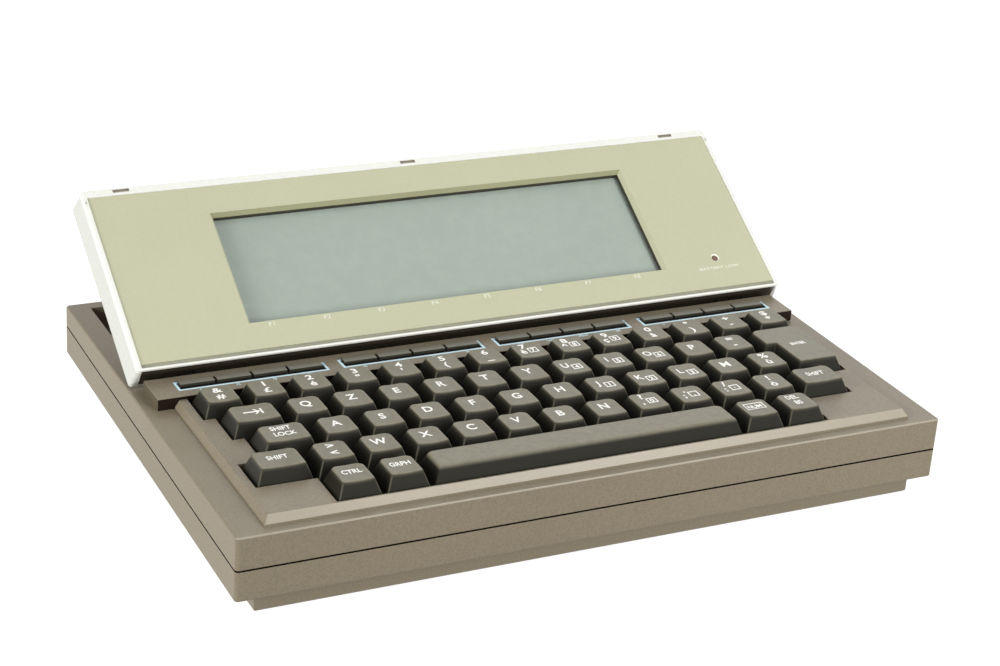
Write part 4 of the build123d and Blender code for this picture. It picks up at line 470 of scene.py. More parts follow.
inside = [worked(tree, "GREATER_THAN",
                 worked(tree, "FRACT", worked(tree, "DIVIDE", axes[axis], crystalLook["pitch"] * mm)),
                 crystalLook["line"]) for axis in ("X", "Y")]
dots = multiplied(tree, multiplied(tree, *inside), crystalLook["share"])
toned = blended(tree, dots, paint(*crystalLook["tone"]), paint(*crystalLook["dot"]))
grain = placeGroup(tree, mouldedGrain, {
    "Colour": toned, "Speck Colour": paint(*crystalLook["haze"]), "Speck Share": 0.4, "Speck Size": 6.0,
    "Drift": 0.02, "Drift Size": 50.0, "Roughness": crystalLook["rough"], "Roughness Drift": 0.08})
dress(tree, shader, grain, 0.002, 0.0, {"Coat Weight": 0.25, "Coat Roughness": 0.12})

# every CAD node takes the finish of its material slot
nodeSlot = {part["node"]: part["material_slot"] for part in frame["record"]["subparts"]}
nodeFinish = {node: finishes[camelName(slot)] for node, slot in nodeSlot.items()}
nodeFinish["hinge_pins"] = finishes["blackedSteel"]
nodeBody = {node: body for body, nodes in frame["record"]["behaviour"]["bodies"].items() for node in nodes}
for node, obj in frame["nodes"].items():
    obj.data.materials.clear()
    obj.data.materials.append(nodeFinish[node])
print("finishes made:", len(finishes))


# Mouldings kept from the CAD, with merged faces, eased corners and soft shading

def mergedCopy(node):
    work = bmesh.new()
    work.from_mesh(frame["nodes"][node].data)
    bmesh.ops.remove_doubles(work, verts=work.verts, dist=0.000002)
    bmesh.ops.dissolve_limit(work, angle_limit=math.radians(0.3), verts=work.verts, edges=work.edges)
    mesh = meshFrom(work, node)
    if "custom_normal" in mesh.attributes:
        mesh.attributes.remove(mesh.attributes["custom_normal"])
    return mesh


sine, cosine = math.sin(math.radians(display["tilt"])), math.cos(math.radians(display["tilt"]))


def faceDepth(y, z):
    # how far up the display's face a point lies, and how far it stands out of it, all in mm
    y, z = y - display["origin"][0], z - display["origin"][1]
    return y * cosine + z * sine, z * cosine - y * sine


def onUnit(x, v, n):
    return (x * mm, (display["origin"][0] + v * cosine - n * sine) * mm,
            (display["origin"][1] + v * sine + n * cosine) * mm)


def steeperWindow(mesh):
    # the opening's walls stand steeper than in the solid, as photographed
    half, low, high = display["windowHalf"], display["windowLow"], display["windowHigh"]
    slope, shift = display["slope"], display["slope"] - display["steep"]
    for vert in mesh.vertices:
        v, n = faceDepth(vert.co.y / mm, vert.co.z / mm)
        x = vert.co.x / mm
        if n > display["surroundBack"] + 0.05 or abs(abs(x) - half + slope) > 0.05:
            continue
        if abs(v - low - slope) < 0.05:
            vert.co = onUnit(math.copysign(abs(x) + shift, x), v - shift, n)
        elif abs(v - high + slope) < 0.05:
            vert.co = onUnit(math.copysign(abs(x) + shift, x), v + shift, n)


def sunkGlass(mesh):
    for vert in mesh.vertices:
        v, n = faceDepth(vert.co.y / mm, vert.co.z / mm)
        if abs(n - display["glassFront"]) < 0.05:
            vert.co = onUnit(vert.co.x / mm, v, display["glassSunk"])


# each trim gives the second finish of a face of its piece, or none, from the face's middle in mm
seam = dict(frontZ=21.7, backZ=26.2, halfDepth=106.0, gap=0.7, lip=2.0)
barBody = dict(front=-2.2, back=15.8, end=144.6, deck=35.2, palmEdge=-95.0, lug=(121.0, 133.0), lugBack=22.5,
               lugFoot=30.0, axis=(18.5, 38.5), knuckle=(117.0, 137.0), knuckleRadius=3.4)
snapWindow = dict(v=85.6, tall=1.0, wide=3.7, places=(-130.8, -2.0, 126.8))


def aboveSeam(y, z):
    share = (y + seam["halfDepth"]) / (2 * seam["halfDepth"])
    return z - seam["frontZ"] - share * (seam["backZ"] - seam["frontZ"])


def upperTrim(x, y, z, normal):
    # the bar's front, dark trim darkened further as painted shade; the bar's ends, the pin lugs and the edge
    # over the seam painted dark as shade; and the front bevels painted paler as a highlight
    # the bar's front: dark trim, darkened further as painted shade under the bar
    if normal.y < -0.9 and abs(y - barBody["front"]) < 0.3 and z > barBody["deck"]:
        return "barFront"
    # the bar's ends painted darker as shade
    if abs(normal.x) > 0.9 and abs(abs(x) - barBody["end"]) < 0.3 and z > barBody["deck"]:
        return "shadedPlastic"
    # the pin lugs painted near-black as shade under the display
    lug = barBody["lug"][0] < abs(x) < barBody["lug"][1] and z > barBody["lugFoot"]
    if lug and barBody["back"] - 0.1 < y < barBody["lugBack"]:
        return "gapLiner"
    # the edge over the seam painted near-black as shade in the gap
    if normal.z < -0.9 and abs(aboveSeam(y, z) - seam["gap"] / 2) < 0.3:
        return "gapLiner"
    # the front bevels painted paler as a highlight, and glossier
    if -0.95 < normal.y < -0.25 and normal.z > 0.25 and y < barBody["palmEdge"]:
        return "polishedPlastic"
    return None


def lowerTrim(x, y, z, normal):
    # painted shade: the faces in the seam gap painted near-black
    above = aboveSeam(y, z)
    edge = normal.z > 0.9 and abs(above + seam["gap"] / 2) < 0.3
    lip = abs(normal.z) < 0.3 and -0.5 < above < seam["lip"] + 0.1
    return "gapLiner" if edge or lip else None


def inSnapWindow(x, v):
    return (abs(v - snapWindow["v"]) < snapWindow["tall"]
            and min(abs(x - place) for place in snapWindow["places"]) < snapWindow["wide"])


def rimTrim(x, y, z, normal):
    v, n = faceDepth(y, z)
    facing = normal.z * cosine - normal.y * sine
    # the groove below the face painted darker as shade
    if facing > 0.9 and display["groove"][0] < v < 0 and abs(n - display["groove"][1]) < 0.1:
        return "grooveFilm"
    # the snap windows painted darker as shade
    return "windowShade" if inSnapWindow(x, v) and n < -0.1 else None


def coverTrim(x, y, z, normal):
    v, n = faceDepth(y, z)
    # the snap windows painted darker as shade
    return "windowShade" if inSnapWindow(x, v) and n > -1.2 else None


def knuckleTrim(x, y, z, normal):
    # the knuckles round the hinge pins painted near-black as shade under the display
    near = math.dist((y, z), barBody["axis"]) < barBody["knuckleRadius"]
    return "gapLiner" if near and barBody["knuckle"][0] < abs(x) < barBody["knuckle"][1] else None


def faceTrim(x, y, z, normal):
    # the window's upper wall painted darker as shade, and the slope round the lamp's hole painted white all
    # round as a highlight
    v, n = faceDepth(y, z)
    high, facing = display["windowHigh"], normal.z * cosine - normal.y * sine
    if high - 4.0 < v < high and normal.y * cosine + normal.z * sine < -0.3:
        return "wallPlastic"
    across, up, radius = display["lamp"]
    # painted highlight: the slope round the lamp's hole painted white
    return "whiteInk" if math.hypot(x - across, v - up) < radius and 0.3 < facing < 0.95 else None


reshaped = {"display_face": steeperWindow, "lcd_frame": steeperWindow, "lcd_glass": sunkGlass}
faceTrims = {"upper_case": upperTrim, "lower_case": lowerTrim, "display_frame": rimTrim,
             "display_rear_cover": coverTrim, "hinge_cover": knuckleTrim, "display_face": faceTrim}
eased = {"battery_door": 0.2, "option_cover": 0.2, "power_switch_knob": 0.25, "memory_switch_knob": 0.25}
mouldings = ["upper_case", "lower_case", "display_frame", "display_face", "display_rear_cover", "hinge_cover",
             "lcd_frame", "battery_door", "option_cover", "power_switch_knob", "memory_switch_knob",
             "reset_button", "contrast_wheel", "rubber_feet", "battery_led", "serial_port", "barcode_port",
             "printer_port", "cassette_jack", "power_jack", "lcd_glass"]
for node in mouldings:
    mesh = mergedCopy(node)
    if node in reshaped:
        reshaped[node](mesh)
    piece = replacePiece(camelName(node), node, settled(mesh, 32, eased.get(node, 0.0)))
    if node in faceTrims:
        count = 0
        for polygon in piece.data.polygons:
            other = faceTrims[node](*[v / mm for v in polygon.center], polygon.normal)
            if other:
                if other not in piece.data.materials:
                    piece.data.materials.append(finishes[other])
                polygon.material_index = piece.data.materials.find(other)
                count += 1
        print("faces of", node, "with a second finish:", count)
print("mouldings eased:", len(mouldings))


# Geometry Nodes trees for what repeats

def repeatTree(name, inputs):
    tree = bpy.data.node_groups.new(name, "GeometryNodeTree")
    tree.interface.new_socket("Geometry", in_out="INPUT", socket_type="NodeSocketGeometry")
    for label, kind in inputs.items():
        tree.interface.new_socket(label, in_out="INPUT", socket_type="NodeSocket" + kind)
    tree.interface.new_socket("Geometry", in_out="OUTPUT", socket_type="NodeSocketGeometry")
    given = wire(tree, "NodeGroupInput").outputs
    shape = wire(tree, "GeometryNodeObjectInfo", {"Object": given["Template"]}).outputs["Geometry"]
    return tree, given, shape


def closeTree(tree, instances, given):
    real = wire(tree, "GeometryNodeRealizeInstances", {"Geometry": instances}).outputs[0]
    dressed = wire(tree, "GeometryNodeSetMaterial", {"Geometry": real, "Material": given["Finish"]})
    wire(tree, "NodeGroupOutput", {"Geometry": dressed.outputs[0]})


# a straight row: Count copies of Template, Step apart, from Start
rowTree, given, shape = repeatTree("straight row", {"Template": "Object", "Count": "Int", "Start": "Vector",
                                                    "Step": "Vector", "Finish": "Material"})
line = wire(rowTree, "GeometryNodeMeshLine", {"Count": given["Count"], "Start Location": given["Start"],
                                              "Offset": given["Step"]}, mode="OFFSET").outputs[0]
copies = wire(rowTree, "GeometryNodeInstanceOnPoints", {"Points": line, "Instance": shape}).outputs[0]
closeTree(rowTree, copies, given)

# spots: a copy of Template on every point of the host mesh, tilted, and spun at random round its own axis
spotTree, given, shape = repeatTree("spots", {"Template": "Object", "Tilt": "Vector", "Spin": "Float",
                                              "Seed": "Int", "Finish": "Material"})
tilted = wire(spotTree, "FunctionNodeEulerToRotation", {0: given["Tilt"]}).outputs[0]
copies = wire(spotTree, "GeometryNodeInstanceOnPoints", {"Points": given["Geometry"], "Instance": shape,
                                                         "Rotation": tilted}).outputs[0]
chance = wire(spotTree, "FunctionNodeRandomValue", {"Seed": given["Seed"]}, data_type="FLOAT")
spun = multiplied(spotTree, chance.outputs["Value"], given["Spin"])
axis = wire(spotTree, "ShaderNodeCombineXYZ", {"Z": spun}).outputs[0]
about = wire(spotTree, "FunctionNodeEulerToRotation", {0: axis}).outputs[0]
turned = wire(spotTree, "GeometryNodeRotateInstances", {"Instances": copies, "Rotation": about,
                                                        "Local Space": True}).outputs[0]
closeTree(spotTree, turned, given)


def runTree(tree, host, values):
    obj = spareObject("host", host)
    modifier = obj.modifiers.new("repeat", "NODES")
    modifier.node_group = tree
    names = {item.name: item.identifier for item in tree.interface.items_tree if item.in_out == "INPUT"}
    for label, value in values.items():
        modifier[names[label]] = value
    mesh = evaluatedMesh(obj)
    obj.modifiers.remove(modifier)
    bpy.data.objects.remove(obj)
    return mesh


def rowOf(template, count, step, start, finish):
    # count copies along X; step and start in mm
    return runTree(rowTree, bpy.data.meshes.new("row"), {
        "Template": template, "Count": count, "Step": (step * mm, 0.0, 0.0), "Finish": finish,
        "Start": tuple(v * mm for v in start)})


# Key caps

cap = dict(pitch=19.1, gap=1.0, height=7.8, base=36.4, rowStart=-132.7, rowEnd=134.7, blockFront=-98.0,
           side=2.85, front=3.1, back=2.0, dish=0.42, wall=1.3, roof=1.6, stem=3.6, reach=4.4, edge=0.5,
           frontCorner=(0.4, 0.7), backCorner=(1.2, 3.1))


def cellX(unit):
    return cap["rowStart"] + unit * cap["pitch"]


def cellFront(row):
    return cap["blockFront"] + (4 - row) * cap["pitch"]


def outlineOf(corners, cuts):
    # arcs round the corners (x, y, radius, start, sweep, steps), and the cut straights between them
    arcs = []
    for x, y, radius, start, sweep, steps in corners:
        angles = [math.radians(start + sweep * n / steps) for n in range(steps + 1)]
        arcs.append([(x + radius * math.cos(a), y + radius * math.sin(a)) for a in angles])
    ring = []
    for n, arc in enumerate(arcs):
        ring += arc
        first, last = arc[-1], arcs[(n + 1) % len(arcs)][0]
        for k in range(cuts[n]):
            share = (k + 1) / (cuts[n] + 1)
            ring.append((first[0] + (last[0] - first[0]) * share, first[1] + (last[1] - first[1]) * share))
    return ring


# the L-shaped key stands in rows 1 and 2; where its lower and upper parts and its stem start, in units
enterKey = dict(lower=12.75, upper=12.5, stem=13.375, units=1.25, wordShape=(2.2, 0.78, 0.09),
                wordSpot=(-0.2, -10.0))


def capInsets(share, inset):
    # how far the sides, front and back stand in from the cell, and the small and large corner radii
    insets = [cap["gap"] / 2 + share * cap[side] + inset for side in ("side", "front", "back")]
    radii = [max(0.1, low + (high - low) * share - inset)
             for low, high in (cap["frontCorner"], cap["backCorner"])]
    return *insets, *radii


def capOutline(width, share, inset):
    left, near, back, small, large = capInsets(share, inset)
    right, far = width - left, cap["pitch"] - back
    return outlineOf([(left + small, near + small, small, 180, 90, 4),
                      (right - small, near + small, small, 270, 90, 4),
                      (right - large, far - large, large, 0, 90, 8),
                      (left + large, far - large, large, 90, 90, 8)], [10, 3, 6, 3])


def enterOutline(share, inset):
    side, near, back, small, large = capInsets(share, inset)
    right, far = cap["rowEnd"] - side, cellFront(0) - back
    lower, upper = cellX(enterKey["lower"]) + side, cellX(enterKey["upper"]) + side
    low, step = cellFront(2) + near, cellFront(1) + near
    bend = small + 2 * inset
    return outlineOf([(lower + small, low + small, small, 180, 90, 4),
                      (right - small, low + small, small, 270, 90, 4),
                      (right - large, far - large, large, 0, 90, 8),
                      (upper + large, far - large, large, 90, 90, 8),
                      (upper + small, step + small, small, 180, 90, 4),
                      (lower - bend, step - bend, bend, 90, -90, 4)], [6, 6, 6, 3, 2, 4])


def bridged(work, lower, upper):
    count = len(lower)
    for n in range(count):
        work.faces.new((lower[n], lower[(n + 1) % count], upper[(n + 1) % count], upper[n]))


def addBlock(work, low, high):
    size = [(b - a) * mm for a, b in zip(low, high)]
    middle = [(a + b) / 2 * mm for a, b in zip(low, high)]
    bmesh.ops.create_cube(work, size=1.0, matrix=Matrix.Translation(middle) @ Matrix.Diagonal((*size, 1)))


def capBody(outline, stems, dish, edge, base):
    # rings from the lower edge up the walls, over the rounded rim and in across the top, then the hollow
    work = bmesh.new()
    rub = work.verts.layers.float.new("rub")
    height = cap["height"]
    xs, ys = zip(*outline(1, 0))
    middle = ((min(xs) + max(xs)) / 2, (min(ys) + max(ys)) / 2)
    half = (max(xs) - min(xs)) / 2
    count = len(xs)

    def sunk(x):
        return dish * max(0.0, 1 - ((x - middle[0]) / half) ** 2)

    def addRing(points, level, marks, dished=False):
        ring = []
        for (x, y), mark in zip(points, marks):
            ring.append(work.verts.new((x * mm, y * mm, (level - (sunk(x) if dished else 0.0)) * mm)))
            ring[-1][rub] = mark
        return ring

    bare = [0.0] * count
    # marks that paint the front corners, the rim and the top paler, as sheen and highlight
    cornerGlints = [0.3 if dish and n in (1, 2, 3, 16, 17, 18) else 0.0 for n in range(count)]
    rings = [addRing(outline(share, 0), base + share * height, cornerGlints) for share in (0.0, 0.4, 0.8)]
    for degrees, mark in ((0, 0.15), (30, 0.5), (60, 0.95), (90, 0.85)):
        inset = edge * (1 - math.cos(math.radians(degrees)))
        rise = height - edge + edge * math.sin(math.radians(degrees))
        rings.append(addRing(outline(rise / height, inset), base + rise, [mark] * count, True))
    if dish:
        for share in (0.82, 0.6, 0.38, 0.16):
            points = [[m + (v - m) * share for m, v in zip(middle, point)] for point in outline(1, edge)]
            rings.append(addRing(points, base + height, [0.75] * count, True))
    for lower, upper in zip(rings, rings[1:]):
        bridged(work, lower, upper)
    work.faces.new(rings[-1])
    hollow = height - cap["roof"]
    low, high = [addRing(outline(share, cap["wall"]), base + share * height, bare)
                 for share in (0.0, hollow / height)]
    bridged(work, low, rings[0])
    bridged(work, high, low)
    work.faces.new(list(reversed(high)))
    grip = cap["stem"] / 2
    for x, y in stems:
        addBlock(work, (x - grip, y - grip, base - cap["reach"]), (x + grip, y + grip, base + hollow + 0.2))
    return closedMesh(work)


def keyCap(units, stems, dish, edge):
    width = units * cap["pitch"]
    return capBody(lambda share, inset: capOutline(width, share, inset),
                   [(place * cap["pitch"], cap["pitch"] / 2) for place in stems], dish, edge, 0.0)


# row, first unit and count or width in units
keyRows = {"key_row_digits": (0, 0, 14), "key_row_upper": (1, 1.5, 11), "key_row_home": (2, 1.75, 11),
           "key_row_lower": (3, 1.25, 11)}
wideKeys = {"key_tab": (1, 0.25, 1.25), "key_shift_lock": (2, 0.5, 1.25), "key_shift_left": (3, 0, 1.25),
            "key_shift_right": (3, 12.25, 1.25), "key_ctrl": (4, 1.25, 1), "key_graph": (4, 2.25, 1),
            "key_num": (4, 10.25, 1), "key_del": (4, 11.25, 1)}
spaceKey = dict(row=4, first=3.25, units=7, crest=1.1, stems=(1.0, 3.5, 6.0))

single = spareObject("single", keyCap(1, [0.5], cap["dish"], cap["edge"]))
for node, (row, first, count) in keyRows.items():
    mesh = rowOf(single, count, cap["pitch"], (cellX(first), cellFront(row), cap["base"]), nodeFinish[node])
    replacePiece("caps_" + node, node, settled(mesh, 38))
bpy.data.objects.remove(single)
wideCaps = {node: (keyCap(units, [units / 2], cap["dish"], cap["edge"]), row, first)
            for node, (row, first, units) in wideKeys.items()}
wideCaps["space_bar"] = (keyCap(spaceKey["units"], spaceKey["stems"], 0.0, spaceKey["crest"]),
                         spaceKey["row"], spaceKey["first"])
for node, (mesh, row, first) in wideCaps.items():
    mesh.transform(Matrix.Translation((cellX(first) * mm, cellFront(row) * mm, cap["base"] * mm)))
    replacePiece("cap_" + node, node, settled(mesh, 38))
mesh = capBody(enterOutline, [(cellX(enterKey["stem"]), cellFront(1))], 0.0, cap["edge"], cap["base"])
replacePiece("cap_key_enter", "key_enter", settled(mesh, 38))
print("key caps made")

# Function keys, four to a bank

barKey = dict(pitch=15.2, bankPitch=69.2, middle=1.0, y=8.2, width=14.6, shown=14.2, depth=4.4, edge=0.22,
              slotEnd=0.7, slot=(4.6, 11.1), liner=(39.5, 39.95), clear=0.06, flange=(36.4, 37.4), stem=1.5,
              topFrom=40.0)
low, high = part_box("function_keys_1")
work = bmesh.new()
wide, deep, stem = barKey["shown"] / 2, barKey["depth"] / 2, barKey["stem"]
under, over = barKey["flange"]
addBlock(work, (-wide, -deep, over), (wide, deep, high.z / mm))
topEdges = [e for e in work.edges if all(v.co.z > high.z - 0.0001 for v in e.verts)]
upright = [e for e in work.edges if abs(e.verts[0].co.z - e.verts[1].co.z) > 0.001]
bmesh.ops.bevel(work, geom=topEdges + upright, offset=barKey["edge"] * mm, segments=3, profile=0.5,
                affect="EDGES")
wide = barKey["width"] / 2
addBlock(work, (-wide, low.y / mm - barKey["y"], under), (wide, high.y / mm - barKey["y"], over))
addBlock(work, (-stem, -stem, low.z / mm), (stem, stem, under))
barTemplate = spareObject("barKey", meshFrom(work, "barKey"))
banks = {f"function_keys_{n + 1}": barKey["middle"] + (n - 1.5) * barKey["bankPitch"] for n in range(4)}
for node in banks:
    start = (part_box(node)[0].x / mm + wide, barKey["y"], 0.0)
    mesh = rowOf(barTemplate, 4, barKey["pitch"], start, nodeFinish[node])
    piece = replacePiece("bank_" + node, node, settled(mesh, 38))
    # the tops of the function keys take a paler finish, as painted sheen
    piece.data.materials.append(finishes["barKeyTop"])
    for polygon in piece.data.polygons:
        polygon.material_index = int(polygon.normal.z > 0.6 and polygon.center.z > barKey["topFrom"] * mm)
bpy.data.objects.remove(barTemplate)


def gridPlate(xs, ys, low, high, solid):
    # a flat plate on a grid of cells, with some cells left open
    work = bmesh.new()
    corners = {(i, j): work.verts.new((x * mm, y * mm, low * mm))
               for i, x in enumerate(xs) for j, y in enumerate(ys)}
    cells = [work.faces.new((corners[i, j], corners[i + 1, j], corners[i + 1, j + 1], corners[i, j + 1]))
             for i in range(len(xs) - 1) for j in range(len(ys) - 1) if solid(i, j)]
    made = bmesh.ops.extrude_face_region(work, geom=cells, use_keep_orig=True)["geom"]
    bmesh.ops.translate(work, verts=[v for v in made if isinstance(v, bmesh.types.BMVert)],
                        vec=(0.0, 0.0, (high - low) * mm))
    bmesh.ops.delete(work, geom=[v for v in work.verts if not v.link_faces], context="VERTS")
    return closedMesh(work)


# painted shade: a near-black sheet in each function-key slot, round the keys
work = bmesh.new()
clear, end = barKey["clear"], barKey["slotEnd"] - 0.02
for node in banks:
    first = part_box(node)[0].x / mm
    keys = [first + n * barKey["pitch"] for n in range(4)]
    xs = [first - end] + [x for key in keys for x in (key - clear, key + barKey["width"] + clear)]
    xs.append(keys[3] + barKey["width"] + end)
    ys = [barKey["slot"][0] + 0.02, barKey["y"] - deep - clear, barKey["y"] + deep + clear,
          barKey["slot"][1] - 0.02]
    plate = gridPlate(xs, ys, *barKey["liner"], lambda i, j: j != 1 or i % 2 == 0)
    work.from_mesh(plate)
    bpy.data.meshes.remove(plate)
addPiece("slotLiners", meshFrom(work, "slotLiners"), finishes["gapLiner"], "case")
print("function keys made")


# Letters: text is made a mesh before it is placed, and follows the top of its key

inkThick = 0.03


def addShape(work, mesh, where):
    for vert in mesh.vertices:
        vert.co = where(vert.co.x, vert.co.y, vert.co.z)
    work.from_mesh(mesh)
    bpy.data.meshes.remove(mesh)


def write(work, text, tall, squeeze, bold, where):
    curve = adjusted(bpy.data.curves.new("letters", "FONT"), body=text, size=tall / 0.73, offset=bold,
                     extrude=inkThick, resolution_u=4)
    obj = spareObject("letters", curve)
    mesh = evaluatedMesh(obj)
    bpy.data.objects.remove(obj)
    xs = [v.co.x for v in mesh.vertices]
    middle = (min(xs) + max(xs)) / 2
    for vert in mesh.vertices:
        vert.co = ((vert.co.x - middle) * squeeze, vert.co.y - tall / 2, vert.co.z)
    addShape(work, mesh, where)


def boxLine(width, height, line):
    # a rectangular outline as one closed ring with thickness
    work = bmesh.new()
    rings = []
    for z in (-inkThick, inkThick):
        for grow in (0, line):
            x, y = width / 2 - grow, height / 2 - grow
            rings.append([work.verts.new((a, b, z)) for a, b in ((-x, -y), (x, -y), (x, y), (-x, y))])
    for lower, upper in ((2, 3), (0, 2), (1, 0), (3, 1)):
        bridged(work, rings[lower], rings[upper])
    return closedMesh(work)


legend = dict(tall=4.4, pair=3.9, word=3.0, bold=0.13, lift=0.01, squeeze=0.96, pairSqueeze=1.1,
              wordSqueeze=0.8, wordBold=0.08, single=(-0.2, 1.0), upper=(0.2, 3.3), lower=(-0.1, -2.2),
              besideBox=(-2.5, 0.8), box=(2.0, -1.4), boxShape=(4.1, 4.2, 0.45), boxDigit=2.6,
              boxSqueeze=0.95, boxBold=0.1, digitBeside=(-1.4, 3.6), markBeside=(-3.0, -1.0),
              digitBox=(1.6, -0.5), wordRows=((-0.2, 3.5), (0.2, -1.1)), wordSingle=(0.0, 0.9),
              numBox=(8.6, 5.0, 0.4))
# a key's first mark, second mark and boxed digit, with ~ for none
rowLegends = {"key_row_digits": "&# 1£ 2é 3\" 4' 5( 6_ 7è7 8^8 9ç9 0à °) +- $*",
              "key_row_upper": "Q Z E R T Y U~4 I~5 O~6 P =-", "key_row_home": "A S D F G H J~1 K~2 L~3 M %ù",
              "key_row_lower": ">< W X C V B N ?,0 .;. /:· !ò"}
wordLegends = {"key_shift_lock": "SHIFT LOCK", "key_shift_left": "SHIFT", "key_shift_right": "SHIFT",
               "key_ctrl": "CTRL", "key_graph": "GRPH", "key_num": "NUM", "key_del": "DEL BS"}


def capTop(row, first, units, dished=True):
    # a place on the cap's top, measured from its middle
    middleX = cellX(first) + units * cap["pitch"] / 2
    middleY = cellFront(row) + cap["pitch"] / 2 + (cap["front"] - cap["back"]) / 2
    half = (units * cap["pitch"] - cap["gap"]) / 2 - cap["side"]

    def where(dx, dy):
        def placed(x, y, z):
            sunk = cap["dish"] * max(0.0, 1 - ((x + dx) / half) ** 2) if dished else 0.0
            height = cap["base"] + cap["height"] - sunk + legend["lift"] + z
            return ((middleX + x + dx) * mm, (middleY + y + dy) * mm, height * mm)
        return placed
    return where


def addLegend(work, where, marks):
    first, second, boxed = [None if mark == "~" else mark for mark in marks.ljust(3, "~")]
    tall = legend["pair"] if second or boxed else legend["tall"]
    squeeze = legend["pairSqueeze" if second else "squeeze"]
    spots = ["digitBeside", "markBeside"] if boxed else ["upper", "lower"]
    if not second:
        spots = ["besideBox" if boxed else "single"]
    for text, spot in zip((first, second), spots):
        write(work, text, tall, squeeze, legend["bold"], where(*legend[spot]))
    if boxed:
        spot = where(*legend["digitBox" if second else "box"])
        addShape(work, boxLine(*legend["boxShape"]), spot)
        write(work, boxed, legend["boxDigit"], legend["boxSqueeze"], legend["boxBold"], spot)


def addLegends(work, node):
    mesh = meshFrom(work, "legends")
    addPiece("legends_" + node, mesh, finishes["legendInk"], nodeBody[node])


for node, rowMarks in rowLegends.items():
    row, first, count = keyRows[node]
    work = bmesh.new()
    for n, marks in enumerate(rowMarks.split()):
        addLegend(work, capTop(row, first + n, 1), marks)
    addLegends(work, node)
for node, words in wordLegends.items():
    where = capTop(*wideKeys[node])
    work = bmesh.new()
    rows = legend["wordRows"] if " " in words else [legend["wordSingle"]]
    tall = legend["boxDigit"] if node == "key_num" else legend["word"]
    for text, spot in zip(words.split(), rows):
        write(work, text, tall, legend["wordSqueeze"], legend["wordBold"], where(*spot))
    if node == "key_num":
        addShape(work, boxLine(*legend["numBox"]), where(*legend["wordSingle"]))
    addLegends(work, node)
work = bmesh.new()
where = capTop(1, enterKey["lower"], enterKey["units"], False)
write(work, "ENTER", *enterKey["wordShape"], where(*enterKey["wordSpot"]))
addLegends(work, "key_enter")

# the tab's arrow against a bar
arrow = dict(left=-4.9, right=2.4, line=0.425, head=2.0, bar=(3.3, 4.2, 2.1), narrow=0.85, up=0.3)
left, right, line, head = [arrow[key] for key in ("left", "right", "line", "head")]
near, far, tall = arrow["bar"]
neck = right + 0.2 - head
outlines = [[(left, -line), (right - 0.4, -line), (right - 0.4, line), (left, line)],
            [(neck - 0.5, head), (neck + 0.4, head), (right + 0.7, 0.0), (neck + 0.4, -head),
             (neck - 0.5, -head), (right - 0.5, 0.0)],
            [(near, -tall), (far, -tall), (far, tall), (near, tall)]]
where = capTop(*wideKeys["key_tab"])(0.0, arrow["up"])
work = bmesh.new()
for outline in outlines:
    shape = bmesh.new()
    lower, upper = [[shape.verts.new((x * arrow["narrow"], y, z)) for x, y in outline]
                    for z in (-inkThick, inkThick)]
    bridged(shape, lower, upper)
    shape.faces.new(upper)
    shape.faces.new(list(reversed(lower)))
    addShape(work, closedMesh(shape), where)
addLegends(work, "key_tab")
print("legends made")

# Pale-blue outlines and words on the function bar

bar = dict(top=40.1, width=62.2, front=3.2, back=10.0, returned=1.6, line=1.05, labelY=1.5,
           label=(1.3, 0.95, 0.05),
           words=["F1 F2 F3 F4", "F5 F6 F7 F8", "PASTE LABEL PRINT PAUSE", "< > ^ v"])


def onBar(x, y, z):
    return (x * mm, y * mm, (bar["top"] + z) * mm)


def mitredStrip(points, width):
    sides = ([], [])
    for n, point in enumerate(points):
        before = Vector(points[max(n - 1, 0)])
        after = Vector(points[min(n + 1, len(points) - 1)])
        here = Vector(point)
        runs = [v.normalized() for v in (here - before, after - here) if v.length > 0]
        normals = [Vector((-v.y, v.x)) for v in runs]
        mitre = sum(normals, Vector((0, 0))) / len(normals)
        mitre = mitre / mitre.length_squared
        sides[0].append(here - mitre * width / 2)
        sides[1].append(here + mitre * width / 2)
    loop = sides[0] + list(reversed(sides[1]))
    work = bmesh.new()
    rings = [[work.verts.new((p.x, p.y, z)) for p in loop] for z in (-inkThick, inkThick)]
    bridged(work, rings[0], rings[1])
    last = 2 * len(points) - 1
    for ring in rings:
        for n in range(len(points) - 1):
            work.faces.new((ring[n], ring[n + 1], ring[last - 1 - n], ring[last - n]))
    return closedMesh(work)


work = bmesh.new()
front, back = bar["front"], bar["back"]
for middle, words in zip(banks.values(), bar["words"]):
    left, right = middle - bar["width"] / 2, middle + bar["width"] / 2
    path = [(left + bar["returned"], back), (left, back), (left, front), (right, front), (right, back),
            (right - bar["returned"], back)]
    addShape(work, mitredStrip(path, bar["line"]), onBar)
    for n, text in enumerate(words.split()):
        at = middle + (n - 1.5) * barKey["pitch"]
        write(work, text, *bar["label"], lambda x, y, z: onBar(at + x, bar["labelY"] + y, z))
addPiece("barOutlines", meshFrom(work, "barOutlines"), finishes["blueInk"], "case")
# painted shade: a near-black band on the bar between each bank's keys and its outline
work = bmesh.new()
inner, near, far = (bar["width"] - bar["line"]) / 2, front + bar["line"] / 2, barKey["slot"][0]
for middle in banks.values():
    path = [(middle - inner, (near + far) / 2), (middle + inner, (near + far) / 2)]
    addShape(work, mitredStrip(path, far - near), onBar)
addPiece("slotBorders", meshFrom(work, "slotBorders"), finishes["gapLiner"], "case")

# Words on the display face, each with its middle and height

face = dict(recess=0.4, first=-87.6, step=24.15, label=(11.4, 2.0, 1.2), low=(122.6, 10.6, 1.45, 1.5))
faceWords = [(f"F{n + 1}", face["first"] + n * face["step"], *face["label"]) for n in range(8)]
faceWords.append(("BATTERY LOW", *face["low"]))
work = bmesh.new()
for text, u, v, tall, squeeze in faceWords:
    write(work, text, tall, squeeze, 0.0, lambda x, y, z: onUnit(u + x, v + y, z - face["recess"]))
addPiece("faceWords", meshFrom(work, "faceWords"), finishes["softInk"], "display_unit")
print("words on the bar and the face made")


# Screws: a pan head with a cross recess, one template for each size

